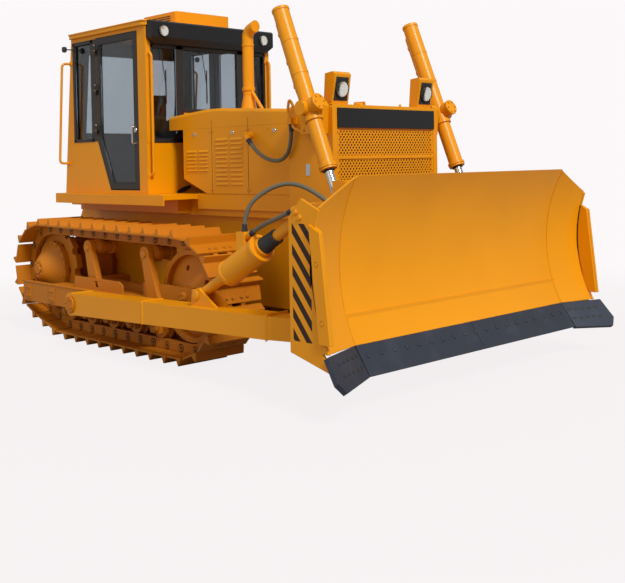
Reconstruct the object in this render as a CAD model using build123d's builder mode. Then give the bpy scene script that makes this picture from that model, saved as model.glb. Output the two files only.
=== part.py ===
from build123d import *
import os
from math import acos, atan2, degrees, pi, radians, sqrt, tan

# Crawler bulldozer with a raised semi-U blade and a rear drawbar.
# Millimetres. +X forward, +Y the machine's left, +Z up, the ground is Z = 0.
# The origin is on the ground, midway between the rear end and the tips of the blade.

os.makedirs("parts", exist_ok=True)

# ---------------------------------------------------------------- driving sizes
SEAT = 0.3                    # gap between two pieces that rest on each other
RUNNING = 8.0                 # gap between a moving piece and its neighbour
SIDES = (("right", -1), ("left", 1))

# Track chain
TRACK_Y = 940                 # half of the gauge
SHOE_WIDTH = 500
SHOE_COUNT = 36
SHOE_GAP = 9                  # open slit between two neighbouring shoes
SHOE_THICK = 14
GROUSER_HEIGHT = 54           # above the shoe plate
GROUSER_TIP = 13
GROUSER_ROOT = 40
LINK_OUT = 42                 # pin line to the shoe's seat
LINK_IN = 50                  # pin line to the tread that the rollers run on
LINK_THICK = 44
LINK_GAUGE = 70               # track centre to the middle of one row of links
PIN_Z = LINK_OUT + SHOE_THICK + GROUSER_HEIGHT

# Wheels of the track
IDLER_X = 310
IDLER_PIN_R = 450
SPROCKET_X = -2031
SPROCKET_Z = 640
SPROCKET_PIN_R = 395
SPROCKET_TEETH = 12
SPROCKET_THICK = 60
ROLLER_R = 100
ROLLER_FLANGE = 18
ROLLER_SHAFT_R = 34
ROLLER_COUNT = 5
ROLLER_REAR_X = -1640
ROLLER_FRONT_X = -132
CARRIER_R = 75
CARRIER_XS = (-1136, -200)
CARRIER_SHAFT_R = 30
BEND_BEHIND_ROLLER = 32       # where the chain leaves the ground, behind the last roller

# Track frame
FRAME_INNER_Y = TRACK_Y - 168
FRAME_OUTER_Y = TRACK_Y + 310
FRAME_LOW_Z = 330
BAR_HIGH_Z = 520
FRAME_DECK_Z = 560
FRAME_REAR_X = -2195
FRAME_FRONT_X = -20
DECK_PLATE_FRONT_X = -118      # the plate over the rollers stops short of the idler

# Hull
HULL_HALF = 420
HULL_LOW_Z = 430
HULL_HIGH_Z = 1180
HULL_FRONT_X = 1530
CASE_REAR_X = -2530
DRAWBAR_REAR_X = -2705
DRAWBAR_Z = 520
DRAWBAR_PIN_R = 26

# Blade and its arms
LIFT_X = -885                 # trunnions of the push arms
LIFT_Z = 430
TRUNNION_R = 58
ARM_GAP = 12
ARM_WIDTH = 205
ARM_INNER_Y = FRAME_OUTER_Y + ARM_GAP
ARM_OUTER_Y = ARM_INNER_Y + ARM_WIDTH
ARM_HEIGHT = 190
ARM_FRONT_X = 1785
ARM_FRONT_Z = 516
BLADE_BACK_X = 2155
BLADE_HALF = 1595
WING_WIDTH = 350                # from the fold to the side plate's outer face
CORNER_WIDTH = 373              # of the slanted upper corner
BLADE_FOLD_Y = BLADE_HALF - WING_WIDTH
BLADE_TOP_HALF = BLADE_HALF - CORNER_WIDTH
BLADE_WING_FORWARD = 90
BLADE_LOW = (2405, 443)
BLADE_MID = (2268, 950)
BLADE_TOP = (2440, 1560)
BLADE_PLATE = 25
BLADE_CORNER_Z = 1350
EDGE_TIP = (2535, 254)
EDGE_THICK = 32
SIDE_PLATE = 20

# Lift cylinders
LIFT_PIN_X = 1516             # trunnions of the cylinders
LIFT_PIN_Z = 2060
CYL_Y = 770
BARREL_R = 66
BARREL_LOWER_R = 60
BARREL_ABOVE = 850
BARREL_BELOW = 500
LIFT_EYE = (1945, 1000)
ROD_R = 33
EYE_R = 62
EYE_PIN_R = 28
EYE_BORE_R = 42
EYE_THICK = 70

# Hood and radiator housing
HOOD_HALF = 500
HOOD_TOP_Z = 2088
HOOD_CREST_Z = 2148
HOOD_BAND_Z = 1975
SHEET = 16
RAD_REAR_X = 1110
RAD_FRONT_X = 1605
RAD_HALF = 625
RAD_TOP_Z = 2095
RAD_LOW_Z = 700
RAD_WALL = 45
BAND_LOW_Z = 1916
BAND_HIGH_Z = 2067
GRILLE_THICK = 12
PANEL_LOW_Z = 1390

# Platform and cab
DECK_Z = 1386
DECK_THICK = 46
DECK_HALF = 874
DECK_REAR_X = -2185
DECK_FRONT_X = -277
CAB_HALF = 752
CAB_FRONT_X = -690
CAB_REAR_X = -2015
CAB_REAR_LOW_X = -2190
CAB_WALL = 45
CAB_TOP_Z = 2945
ROOF_THICK = 48
ROOF_OVERHANG = 30
ROOF_FRONT = 20               # of the roof, ahead of the cab's front wall
GLASS = 8
HOOD_REAR_X = CAB_FRONT_X + SEAT

# Doors
DOOR_HINGE_X = -1540
DOOR_FRONT_X = -830
DOOR_LOW_Z = 1430
DOOR_HIGH_Z = 2905
DOOR_CORNER = (-1320, 1900)   # foot of the slanted rear edge, and where it starts
DOOR_THICK = 36
DOOR_GAP = 6
HINGE_R = 13
HINGE_OUT = 14                # hinge line outside the door's face
HINGE_ZS = (2010, 2400, 2790)
HINGE_HALF = 45


def side_view(points, y_from, y_to, mode=Mode.ADD):
    """Extrude a closed outline, drawn in X and Z, between two stations of Y."""
    with BuildSketch(Plane.XZ.offset(-(y_from + y_to) / 2)) as outline:
        with BuildLine():
            Polyline(*points, close=True)
        make_face()
    extrude(outline.sketch, amount=abs(y_to - y_from) / 2, both=True, mode=mode)


def plan_view(points, z_from, z_to, mode=Mode.ADD):
    """Extrude a closed outline, drawn in X and Y, between two heights."""
    with BuildSketch(Plane.XY.offset(z_from)) as outline:
        with BuildLine():
            Polyline(*points, close=True)
        make_face()
    extrude(outline.sketch, amount=z_to - z_from, mode=mode)


def front_view(points, x_from, x_to, mode=Mode.ADD):
    """Extrude a closed outline, drawn in Y and Z, between two stations of X."""
    with BuildSketch(Plane.YZ.offset(x_from)) as outline:
        with BuildLine():
            Polyline(*points, close=True)
        make_face()
    extrude(outline.sketch, amount=x_to - x_from, mode=mode)


def block(x_range, y_range, z_range, mode=Mode.ADD):
    """Add a box between three pairs of limits."""
    limits = [sorted(pair) for pair in (x_range, y_range, z_range)]
    with Locations(tuple((low + high) / 2 for low, high in limits)):
        Box(*(high - low for low, high in limits), mode=mode)


def bar(start, end, radius, mode=Mode.ADD):
    """Add a round bar between two points."""
    run = Vector(*end) - Vector(*start)
    with Locations(Plane(origin=start, z_dir=run)):
        Cylinder(radius, run.length, align=(Align.CENTER, Align.CENTER, Align.MIN), mode=mode)


def cross_bar(x, z, radius, y_from, y_to, mode=Mode.ADD):
    """Add a round bar along Y."""
    bar((x, min(y_from, y_to), z), (x, max(y_from, y_to), z), radius, mode)


def turned(x, z, profile, side):
    """Revolve (distance from the centre plane, radius) stations about a cross axis at x and z."""
    with BuildSketch(Plane(origin=(x, 0, z), x_dir=(0, side, 0), z_dir=(side, 0, 0))) as section:
        with BuildLine():
            Polyline(*profile, close=True)
        make_face()
    revolve(section.sketch, axis=Axis((x, 0, z), (0, 1, 0)))


def save(builder, name):
    """Label a finished piece and write it."""
    builder.part.label = name
    export_step(builder.part, f"parts/{name}.step")


# ---------------------------------------------------------------- track chain
IDLER_Z = PIN_Z + IDLER_PIN_R
BEND_X = ROLLER_REAR_X - BEND_BEHIND_ROLLER


def chain_stretches():
    """Edges of the pins' closed line in order: ground, idler, top run, sprocket, rear rise."""
    run = Vector(SPROCKET_X - IDLER_X, SPROCKET_Z - IDLER_Z)
    heading = degrees(atan2(run.Y, run.X))
    top_angle = heading - degrees(acos((IDLER_PIN_R - SPROCKET_PIN_R) / run.length))
    bend = Vector(BEND_X, PIN_Z)
    drop = bend - Vector(SPROCKET_X, SPROCKET_Z)
    low_angle = degrees(atan2(drop.Y, drop.X)) - degrees(acos(SPROCKET_PIN_R / drop.length))
    round_idler = Edge.make_circle(IDLER_PIN_R, Plane((IDLER_X, IDLER_Z)), -90, top_angle)
    round_sprocket = Edge.make_circle(
        SPROCKET_PIN_R, Plane((SPROCKET_X, SPROCKET_Z)), top_angle, low_angle + 360
    )
    return (
        Edge.make_line(bend, round_idler @ 0),
        round_idler,
        Edge.make_line(round_idler @ 1, round_sprocket @ 0),
        round_sprocket,
        Edge.make_line(round_sprocket @ 1, bend),
    )


def chain_pins():
    """Pin centres at equal steps round the loop, the first where the chain leaves the ground."""
    stretches = chain_stretches()
    step = sum(stretch.length for stretch in stretches) / SHOE_COUNT
    pins = []
    travelled = 0
    for stretch in stretches:
        while len(pins) < SHOE_COUNT and len(pins) * step < travelled + stretch.length - 0.001:
            pins.append(stretch @ ((len(pins) * step - travelled) / stretch.length))
        travelled += stretch.length
    return [(pin.X, pin.Y) for pin in pins]


PINS = chain_pins()
PITCH = (Vector(*PINS[1]) - Vector(*PINS[0])).length


def shoe_places():
    """One place per shoe: the middle of its link, turned along the link."""
    places = []
    for start, end in zip(PINS, PINS[1:] + PINS[:1]):
        middle = ((start[0] + end[0]) / 2, (start[1] + end[1]) / 2, 0)
        turn = degrees(atan2(end[1] - start[1], end[0] - start[0]))
        places.append(Location(middle, (0, 0, turn)))
    return places


SHOE_HALF = (PITCH - SHOE_GAP) / 2
# Shoe section in its link's own axes: X along the travel, Y out of the loop is negative.
SHOE_SECTION = (
    (-SHOE_HALF, 2 - LINK_OUT),
    (SHOE_HALF, 2 - LINK_OUT),
    (SHOE_HALF, -LINK_OUT - SHOE_THICK),
    (SHOE_HALF - 26, -LINK_OUT - SHOE_THICK - GROUSER_HEIGHT),
    (SHOE_HALF - 26 - GROUSER_TIP, -LINK_OUT - SHOE_THICK - GROUSER_HEIGHT),
    (SHOE_HALF - 26 - GROUSER_ROOT, -LINK_OUT - SHOE_THICK),
    (-SHOE_HALF, -LINK_OUT - SHOE_THICK),
)

for side, sign in SIDES:
    middle_plane = Plane.XZ.offset(-sign * TRACK_Y)
    with BuildPart() as track:
        with BuildSketch(middle_plane) as ring:
            with BuildLine():
                Polyline(*PINS, close=True)
            make_face()
            offset(amount=LINK_OUT, kind=Kind.INTERSECTION)
            with BuildLine():
                Polyline(*PINS, close=True)
            tread = make_face(mode=Mode.PRIVATE)
            offset(tread, amount=-LINK_IN, kind=Kind.INTERSECTION, mode=Mode.SUBTRACT)
        extrude(amount=LINK_GAUGE + LINK_THICK / 2, both=True)
        extrude(ring.sketch, amount=LINK_GAUGE - LINK_THICK / 2, both=True, mode=Mode.SUBTRACT)
        with BuildSketch(middle_plane):
            with Locations(*shoe_places()):
                Polygon(*SHOE_SECTION, align=None)
        extrude(amount=SHOE_WIDTH / 2, both=True)
    save(track, f"track_{side}")

# ---------------------------------------------------------------- wheels of the track
LINK_REACH = LINK_GAUGE + LINK_THICK / 2       # track centre to the outer face of the links
LINK_INSIDE = LINK_GAUGE - LINK_THICK / 2      # track centre to the inner face of the links
# A link lies on its wheel at its middle, which is nearer the axle than its pins are.
IDLER_R = sqrt(IDLER_PIN_R**2 - (PITCH / 2) ** 2) - LINK_IN - SEAT
IDLER_CENTRE_R = IDLER_R + 16
IDLER_HUB_R = 95
IDLER_HUB_HALF = 112
IDLER_RIM = 42
IDLER_SHAFT_R = 46
IDLER_SHAFT_HALF = IDLER_HUB_HALF + 66
IDLER_WEB_R = 236
IDLER_HOLE_R = 24

with BuildPart() as idlers:
    for side, sign in SIDES:
        # The web leans outward from the rim to the hub on its outer side, like a shallow cone.
        turned(
            IDLER_X,
            IDLER_Z,
            (
                (TRACK_Y - IDLER_SHAFT_HALF, 0),
                (TRACK_Y + IDLER_SHAFT_HALF, 0),
                (TRACK_Y + IDLER_SHAFT_HALF, IDLER_SHAFT_R),
                (TRACK_Y + IDLER_HUB_HALF, IDLER_SHAFT_R),
                (TRACK_Y + IDLER_HUB_HALF, IDLER_HUB_R),
                (TRACK_Y + 40, IDLER_R - IDLER_RIM),
                (TRACK_Y + LINK_REACH, IDLER_R - IDLER_RIM),
                (TRACK_Y + LINK_REACH, IDLER_R),
                (TRACK_Y + LINK_INSIDE - RUNNING, IDLER_R),
                (TRACK_Y + LINK_INSIDE - RUNNING, IDLER_CENTRE_R),
                (TRACK_Y - LINK_INSIDE + RUNNING, IDLER_CENTRE_R),
                (TRACK_Y - LINK_INSIDE + RUNNING, IDLER_R),
                (TRACK_Y - LINK_REACH, IDLER_R),
                (TRACK_Y - LINK_REACH, IDLER_R - IDLER_RIM),
                (TRACK_Y - 40, IDLER_R - IDLER_RIM),
                (TRACK_Y - IDLER_HUB_HALF, IDLER_HUB_R),
                (TRACK_Y - IDLER_HUB_HALF, IDLER_SHAFT_R),
                (TRACK_Y - IDLER_SHAFT_HALF, IDLER_SHAFT_R),
            ),
            sign,
        )
    with BuildSketch(Plane.XZ):
        with Locations((IDLER_X, IDLER_Z)):
            with PolarLocations(IDLER_WEB_R, 5, 32):
                Circle(IDLER_HOLE_R)
    extrude(amount=TRACK_Y + LINK_REACH, both=True, mode=Mode.SUBTRACT)
save(idlers, "idlers")

# The sprocket's pockets sit at the pins that lie round it.
pocket_pin = min(PINS, key=lambda pin: pin[0])
pocket_angle = degrees(atan2(pocket_pin[1] - SPROCKET_Z, pocket_pin[0] - SPROCKET_X))
SPROCKET_TIP_R = SPROCKET_PIN_R + 12
SPROCKET_ROOT_R = SPROCKET_PIN_R - 34
POCKET_R = 36
SPROCKET_BORE_R = 128

with BuildPart() as sprockets:
    with BuildSketch(Plane.XZ) as toothed:
        with Locations((SPROCKET_X, SPROCKET_Z)):
            Circle(SPROCKET_TIP_R)
            with PolarLocations(SPROCKET_PIN_R, SPROCKET_TEETH, pocket_angle):
                Circle(POCKET_R, mode=Mode.SUBTRACT)
            with PolarLocations(SPROCKET_TIP_R, SPROCKET_TEETH, pocket_angle):
                Rectangle(2 * (SPROCKET_TIP_R - SPROCKET_PIN_R), 2 * POCKET_R, mode=Mode.SUBTRACT)
            Circle(SPROCKET_BORE_R, mode=Mode.SUBTRACT)
            with PolarLocations((SPROCKET_ROOT_R + SPROCKET_BORE_R) / 2, 6, pocket_angle):
                Circle(38, mode=Mode.SUBTRACT)
    for side, sign in SIDES:
        placed = toothed.sketch.moved(Location((0, sign * TRACK_Y, 0)))
        extrude(placed, amount=SPROCKET_THICK / 2, both=True)
save(sprockets, "sprockets")

ROLLER_STEP = (ROLLER_FRONT_X - ROLLER_REAR_X) / (ROLLER_COUNT - 1)
ROLLER_XS = [ROLLER_REAR_X + ROLLER_STEP * index for index in range(ROLLER_COUNT)]
ROLLER_Z = PIN_Z + LINK_IN + ROLLER_R + SEAT
ROLLER_BODY = 96              # half length of a roller between its hangers
HANGER_IN = ROLLER_BODY + 4
HANGER_OUT = HANGER_IN + 48
HANGER_HALF = 62
ROLLER_CAP_R = 48
ROLLER_END = HANGER_OUT + 26

ROLLER_PROFILE = (
    (-ROLLER_END, 0),
    (-ROLLER_END, ROLLER_CAP_R),
    (-HANGER_OUT - SEAT, ROLLER_CAP_R),
    (-HANGER_OUT - SEAT, ROLLER_SHAFT_R),
    (-ROLLER_BODY, ROLLER_SHAFT_R),
    (-ROLLER_BODY, ROLLER_R),
    (-LINK_INSIDE + RUNNING / 2, ROLLER_R),
    (-LINK_INSIDE + RUNNING / 2, ROLLER_R + ROLLER_FLANGE),
    (-LINK_INSIDE + 24, ROLLER_R + ROLLER_FLANGE),
    (-LINK_INSIDE + 30, ROLLER_R),
)

with BuildPart() as bottom_rollers:
    for side, sign in SIDES:
        for x in ROLLER_XS:
            half = [(TRACK_Y + station, radius) for station, radius in ROLLER_PROFILE]
            other = [(TRACK_Y - station, radius) for station, radius in reversed(ROLLER_PROFILE)]
            turned(x, ROLLER_Z, half + other, sign)
save(bottom_rollers, "bottom_rollers")


def rail_height(x):
    """Height of the chain's inner tread along its top run."""
    rear, front = sorted(PINS, key=lambda pin: abs(pin[0] - x) + (1e6 if pin[1] < IDLER_Z else 0))[:2]
    slope = (front[1] - rear[1]) / (front[0] - rear[0])
    return rear[1] + slope * (x - rear[0]) - LINK_IN


CARRIER_ARM_IN = LINK_REACH + 52
CARRIER_ARM_OUT = CARRIER_ARM_IN + 56
CARRIER_ZS = [rail_height(x) - CARRIER_R - SEAT for x in CARRIER_XS]
CARRIER_PROFILE = (
    (-LINK_REACH - 4, 0),
    (-LINK_REACH - 4, CARRIER_R - 18),
    (-LINK_REACH, CARRIER_R),
    (-LINK_INSIDE, CARRIER_R),
    (-LINK_INSIDE + 6, CARRIER_R - 16),
    (LINK_INSIDE - 6, CARRIER_R - 16),
    (LINK_INSIDE, CARRIER_R),
    (LINK_REACH, CARRIER_R),
    (LINK_REACH + 30, CARRIER_R - 10),
    (CARRIER_ARM_IN - SEAT, CARRIER_R - 22),
    (CARRIER_ARM_IN - SEAT, CARRIER_SHAFT_R),
    (CARRIER_ARM_OUT + 12, CARRIER_SHAFT_R),
    (CARRIER_ARM_OUT + 12, 0),
)

with BuildPart() as carrier_rollers:
    for side, sign in SIDES:
        for x, z in zip(CARRIER_XS, CARRIER_ZS):
            stations = [(TRACK_Y + station, radius) for station, radius in CARRIER_PROFILE]
            turned(x, z, stations, sign)
save(carrier_rollers, "carrier_rollers")

# ---------------------------------------------------------------- track frames
INNER_BEAM_OUT = TRACK_Y - HANGER_IN           # inner beam, side that faces the rollers
OUTER_BEAM_IN = TRACK_Y + HANGER_IN
ROLLER_TOP_Z = ROLLER_Z + ROLLER_R + ROLLER_FLANGE + RUNNING
BEAM_REAR_X = ROLLER_REAR_X - 80
BAR_THICK = 70
YOKE_LOW_Z = IDLER_Z - 78
YOKE_HIGH_Z = IDLER_Z + 78
YOKE_FRONT_X = IDLER_X + 110
YOKE_THICK = 50
YOKE_IN = IDLER_HUB_HALF + SEAT
COVER_X = -1700               # rear end of the plate over the rollers
GUARD_X = (-1330, -500)
GUARD_HIGH_Z = 626
GUARD_WINDOW_X = (-960, -880)
GUARD_WINDOW_Z = (BAR_HIGH_Z + 28, BAR_HIGH_Z + 84)
ARM_FOOT_X = 120              # the carrier's arm leans back from its foot
ARM_FOOT_HALF = 82
ARM_HEAD_HALF = 52
CLAMP_R = 66
TRUNNION_PAD = 10

for side, sign in SIDES:
    with BuildPart() as track_frame:
        # Two long beams, with the rollers' hangers under them
        beam_x = (BEAM_REAR_X, FRAME_FRONT_X)
        block(beam_x, (sign * FRAME_INNER_Y, sign * INNER_BEAM_OUT), (FRAME_LOW_Z, FRAME_DECK_Z))
        block(beam_x, (sign * OUTER_BEAM_IN, sign * (FRAME_OUTER_Y - 6)), (FRAME_LOW_Z + 6, BAR_HIGH_Z))
        for x in ROLLER_XS:
            for inner, outer in ((-HANGER_OUT, -HANGER_IN), (HANGER_IN, HANGER_OUT)):
                block(
                    (x - HANGER_HALF, x + HANGER_HALF),
                    (sign * (TRACK_Y + inner), sign * (TRACK_Y + outer)),
                    (ROLLER_Z - HANGER_HALF + 12, FRAME_LOW_Z + 20),
                )
        # Deck over the rollers
        block(
            (ROLLER_REAR_X + 60, DECK_PLATE_FRONT_X),
            (sign * (INNER_BEAM_OUT - 5), sign * (OUTER_BEAM_IN + 5)),
            (ROLLER_TOP_Z, BAR_HIGH_Z - 20),
        )
        # Outer bar, which runs on behind the beams beside the final drive
        block(
            (FRAME_REAR_X, FRAME_FRONT_X),
            (sign * (FRAME_OUTER_Y - BAR_THICK), sign * FRAME_OUTER_Y),
            (FRAME_LOW_Z, BAR_HIGH_Z),
        )
        # Guard plate on the outer bar, with its square window
        guard = (
            (GUARD_X[0], BAR_HIGH_Z - 10),
            (GUARD_X[1], BAR_HIGH_Z - 10),
            (GUARD_X[1], GUARD_HIGH_Z - 30),
            (GUARD_X[1] - 60, GUARD_HIGH_Z),
            (GUARD_X[0] + 20, GUARD_HIGH_Z),
        )
        guard_y = (sign * (FRAME_OUTER_Y - 90), sign * (FRAME_OUTER_Y - 74))
        side_view(guard, *guard_y)
        block(GUARD_WINDOW_X, guard_y, GUARD_WINDOW_Z, mode=Mode.SUBTRACT)
        # Arms that hold the carrier rollers
        for x, z in zip(CARRIER_XS, CARRIER_ZS):
            arm = (
                (x + ARM_FOOT_X - ARM_FOOT_HALF, BAR_HIGH_Z - 30),
                (x + ARM_FOOT_X + ARM_FOOT_HALF, BAR_HIGH_Z - 30),
                (x + ARM_HEAD_HALF, z),
                (x - ARM_HEAD_HALF, z),
            )
            arm_faces = (sign * (TRACK_Y + CARRIER_ARM_IN), sign * (TRACK_Y + CARRIER_ARM_OUT))
            side_view(arm, *arm_faces)
            cross_bar(x, z, CLAMP_R, *arm_faces)
            cross_bar(x, z, CARRIER_SHAFT_R + SEAT, *arm_faces, mode=Mode.SUBTRACT)
        # Yoke of the idler
        for face in (-YOKE_IN - YOKE_THICK, YOKE_IN):
            yoke_faces = (sign * (TRACK_Y + face), sign * (TRACK_Y + face + YOKE_THICK))
            block((FRAME_FRONT_X - 260, YOKE_FRONT_X), yoke_faces, (YOKE_LOW_Z, YOKE_HIGH_Z))
            cross_bar(IDLER_X, IDLER_Z, IDLER_SHAFT_R + SEAT, *yoke_faces, mode=Mode.SUBTRACT)
        # Bores of the rollers' shafts
        for x in ROLLER_XS:
            cross_bar(
                x,
                ROLLER_Z,
                ROLLER_SHAFT_R + SEAT,
                sign * (TRACK_Y - HANGER_OUT),
                sign * (TRACK_Y + HANGER_OUT),
                mode=Mode.SUBTRACT,
            )
        # Trunnion of the push arm
        cross_bar(
            LIFT_X,
            LIFT_Z,
            TRUNNION_R + 34,
            sign * (FRAME_OUTER_Y - 10),
            sign * (ARM_INNER_Y - SEAT),
        )
        cross_bar(LIFT_X, LIFT_Z, TRUNNION_R, sign * FRAME_OUTER_Y, sign * (ARM_OUTER_Y + 6))
    save(track_frame, f"track_frame_{side}")


# ---------------------------------------------------------------- final drives and hull
DRIVE_OUT_Y = TRACK_Y - 180
DRIVE_R = 300
NECK_R = 190
HUB_R = SPROCKET_BORE_R - SEAT
COVER_IN_Y = TRACK_Y + SPROCKET_THICK / 2 + SEAT
COVER_R = 268
COVER_CAP_R = 112
COVER_OUT_Y = TRACK_Y + 210
COVER_CAP_Y = COVER_OUT_Y + 22
PIVOT_X = -1600
PIVOT_Z = 470
PIVOT_R = 62
EQUALIZER_X = (-330, -130)
EQUALIZER_LOW_Z = 340

with BuildPart() as final_drives:
    for side, sign in SIDES:
        turned(
            SPROCKET_X,
            SPROCKET_Z,
            (
                (HULL_HALF, 0),
                (HULL_HALF, 230),
                (HULL_HALF + 90, DRIVE_R),
                (DRIVE_OUT_Y - 60, DRIVE_R),
                (DRIVE_OUT_Y, NECK_R + 40),
                (DRIVE_OUT_Y + 50, NECK_R),
                (TRACK_Y - SPROCKET_THICK / 2 - SEAT, NECK_R),
                (TRACK_Y - SPROCKET_THICK / 2 - SEAT, HUB_R),
                (COVER_IN_Y, HUB_R),
                (COVER_IN_Y, COVER_R),
                (COVER_IN_Y + 34, COVER_R),
                (COVER_OUT_Y, COVER_CAP_R),
                (COVER_CAP_Y, COVER_CAP_R - 26),
                (COVER_CAP_Y, 0),
            ),
            sign,
        )
save(final_drives, "final_drives")

with BuildPart() as cross_members:
    block(EQUALIZER_X, (-FRAME_INNER_Y, FRAME_INNER_Y), (EQUALIZER_LOW_Z, HULL_LOW_Z - SEAT))
    for side, sign in SIDES:
        cross_bar(PIVOT_X, PIVOT_Z + 30, PIVOT_R, sign * HULL_HALF, sign * FRAME_INNER_Y)
save(cross_members, "cross_members")

SILL_HALF = 470
SILL_LOW_Z = 1190
SILL_TOP_Z = DECK_Z - DECK_THICK
HULL_REAR_X = -2120
NOSE_RISE = 240               # the belly rises towards the front

with BuildPart() as hull:
    side_view(
        (
            (HULL_REAR_X, HULL_LOW_Z),
            (HULL_FRONT_X - 500, HULL_LOW_Z),
            (HULL_FRONT_X, HULL_LOW_Z + NOSE_RISE),
            (HULL_FRONT_X, RAD_LOW_Z),
            (RAD_REAR_X, RAD_LOW_Z),
            (RAD_REAR_X, SILL_LOW_Z),
            (HULL_REAR_X, SILL_LOW_Z),
        ),
        -HULL_HALF,
        HULL_HALF,
    )
    block((DECK_REAR_X, RAD_REAR_X), (-SILL_HALF, SILL_HALF), (SILL_LOW_Z, SILL_TOP_Z))
save(hull, "hull")

CASE_HALF = 400
CASE_TOP_Z = 1250
TANK_HALF = 530
TANK_TOP_Z = 1900
DRAWBAR_HALF = 70
DRAWBAR_THICK = 62

with BuildPart() as rear_case:
    side_view(
        (
            (HULL_REAR_X, HULL_LOW_Z),
            (CASE_REAR_X + 120, HULL_LOW_Z),
            (CASE_REAR_X, HULL_LOW_Z + 120),
            (CASE_REAR_X, CASE_TOP_Z - 160),
            (CASE_REAR_X + 90, CASE_TOP_Z),
            (DECK_REAR_X, CASE_TOP_Z),
            (DECK_REAR_X, SILL_LOW_Z),
            (HULL_REAR_X, SILL_LOW_Z),
        ),
        -CASE_HALF,
        CASE_HALF,
    )
save(rear_case, "rear_case")

with BuildPart() as drawbar:
    drawbar_z = (DRAWBAR_Z - DRAWBAR_THICK / 2, DRAWBAR_Z + DRAWBAR_THICK / 2)
    plan_view(
        (
            (CASE_REAR_X, -150),
            (CASE_REAR_X, 150),
            (DRAWBAR_REAR_X + DRAWBAR_HALF, DRAWBAR_HALF),
            (DRAWBAR_REAR_X + DRAWBAR_HALF, -DRAWBAR_HALF),
        ),
        *drawbar_z,
    )
    with BuildSketch(Plane.XY.offset(drawbar_z[0])) as nose:
        with Locations((DRAWBAR_REAR_X + DRAWBAR_HALF, 0)):
            Circle(DRAWBAR_HALF)
    extrude(nose.sketch, amount=DRAWBAR_THICK)
    block((CASE_REAR_X - 30, CASE_REAR_X), (-190, 190), (DRAWBAR_Z - 70, DRAWBAR_Z + 130))
    with BuildSketch(Plane.XY.offset(drawbar_z[0])) as pin_bore:
        with Locations((DRAWBAR_REAR_X + DRAWBAR_HALF, 0)):
            Circle(DRAWBAR_PIN_R)
    extrude(pin_bore.sketch, amount=DRAWBAR_THICK, mode=Mode.SUBTRACT)
save(drawbar, "drawbar")

with BuildPart() as fuel_tank:
    side_view(
        (
            (CASE_REAR_X + 60, CASE_TOP_Z),
            (CASE_REAR_X + 60, TANK_TOP_Z - 110),
            (CASE_REAR_X + 170, TANK_TOP_Z),
            (CAB_REAR_LOW_X - 70, TANK_TOP_Z),
            (DECK_REAR_X - 70, CASE_TOP_Z),
        ),
        -TANK_HALF,
        TANK_HALF,
    )
    fillet(fuel_tank.edges().filter_by(Axis.Y).group_by(Axis.Z)[-1], 40)
save(fuel_tank, "fuel_tank")

# ---------------------------------------------------------------- platform, hood and engine
DECK_BOX = 150                # width of the box under each side of the deck

with BuildPart() as platform:
    block((DECK_REAR_X, DECK_FRONT_X), (-DECK_HALF, DECK_HALF), (DECK_Z - DECK_THICK, DECK_Z))
    for side, sign in SIDES:
        # Skirt under the edge of the deck, and the box that carries it
        block((DECK_REAR_X, DECK_FRONT_X), (sign * (DECK_HALF - 12), sign * DECK_HALF), (DECK_Z - 96, DECK_Z))
        block(
            (DECK_REAR_X + 60, DECK_FRONT_X - 140),
            (sign * (SILL_HALF + SEAT), sign * (SILL_HALF + DECK_BOX)),
            (SILL_LOW_Z + 20, DECK_Z - DECK_THICK),
        )
save(platform, "platform")

ENGINE_X = (DECK_FRONT_X + 20, 1000)
ENGINE_HALF = 300
ENGINE_TOP_Z = 1880

with BuildPart() as engine:
    block(ENGINE_X, (-ENGINE_HALF, ENGINE_HALF), (SILL_TOP_Z, ENGINE_TOP_Z))
save(engine, "engine")

HOOD_PROFILE = (
    (HOOD_REAR_X, HOOD_CREST_Z - 44),
    (-150, HOOD_CREST_Z),
    (70, HOOD_CREST_Z),
    (RAD_REAR_X, HOOD_TOP_Z),
)

with BuildPart() as hood:
    side_view(((HOOD_REAR_X, HOOD_BAND_Z), *HOOD_PROFILE, (RAD_REAR_X, HOOD_BAND_Z)), -HOOD_HALF, HOOD_HALF)
    fillet(hood.edges().filter_by(Axis.X, tolerance=6).group_by(Axis.Z)[-1], 34)
    side_view(
        (
            (HOOD_REAR_X, HOOD_BAND_Z),
            *((x, z - SHEET) for x, z in HOOD_PROFILE),
            (RAD_REAR_X, HOOD_BAND_Z),
        ),
        -HOOD_HALF + SHEET,
        HOOD_HALF - SHEET,
        mode=Mode.SUBTRACT,
    )
save(hood, "hood")

# Side panels of the engine: rear end and front end of each
PANEL_SPANS = ((-475, -52), (-46, 452), (458, RAD_REAR_X))
PANEL_THICK = 14
PANEL_CUT = (345, 132)        # slanted corner at the foot of the rear panel
LOUVRE_OUT = 9
LOUVRE_HIGH = 24
# Louvres of one column: rear end, front end, top and the step between them
LOUVRES = (
    (-420, -275, 1786, 34),
    (-245, -105, 1786, 34),
    (12, 178, 1884, 39),
    (214, 380, 1884, 39),
)
LOUVRE_COUNT = (6, 6, 11, 11)
GLAND_R = 24
HOSE_R = 16
# Hose of a lift cylinder on the left side: X, Y and Z of its corners
LIFT_HOSE = (
    (535, 560, 1852),
    (640, 575, 1755),
    (860, 612, 1672),
    (1075, 650, 1672),
    (1190, 668, 1792),
    (1190, 668, 1955),
)

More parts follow.
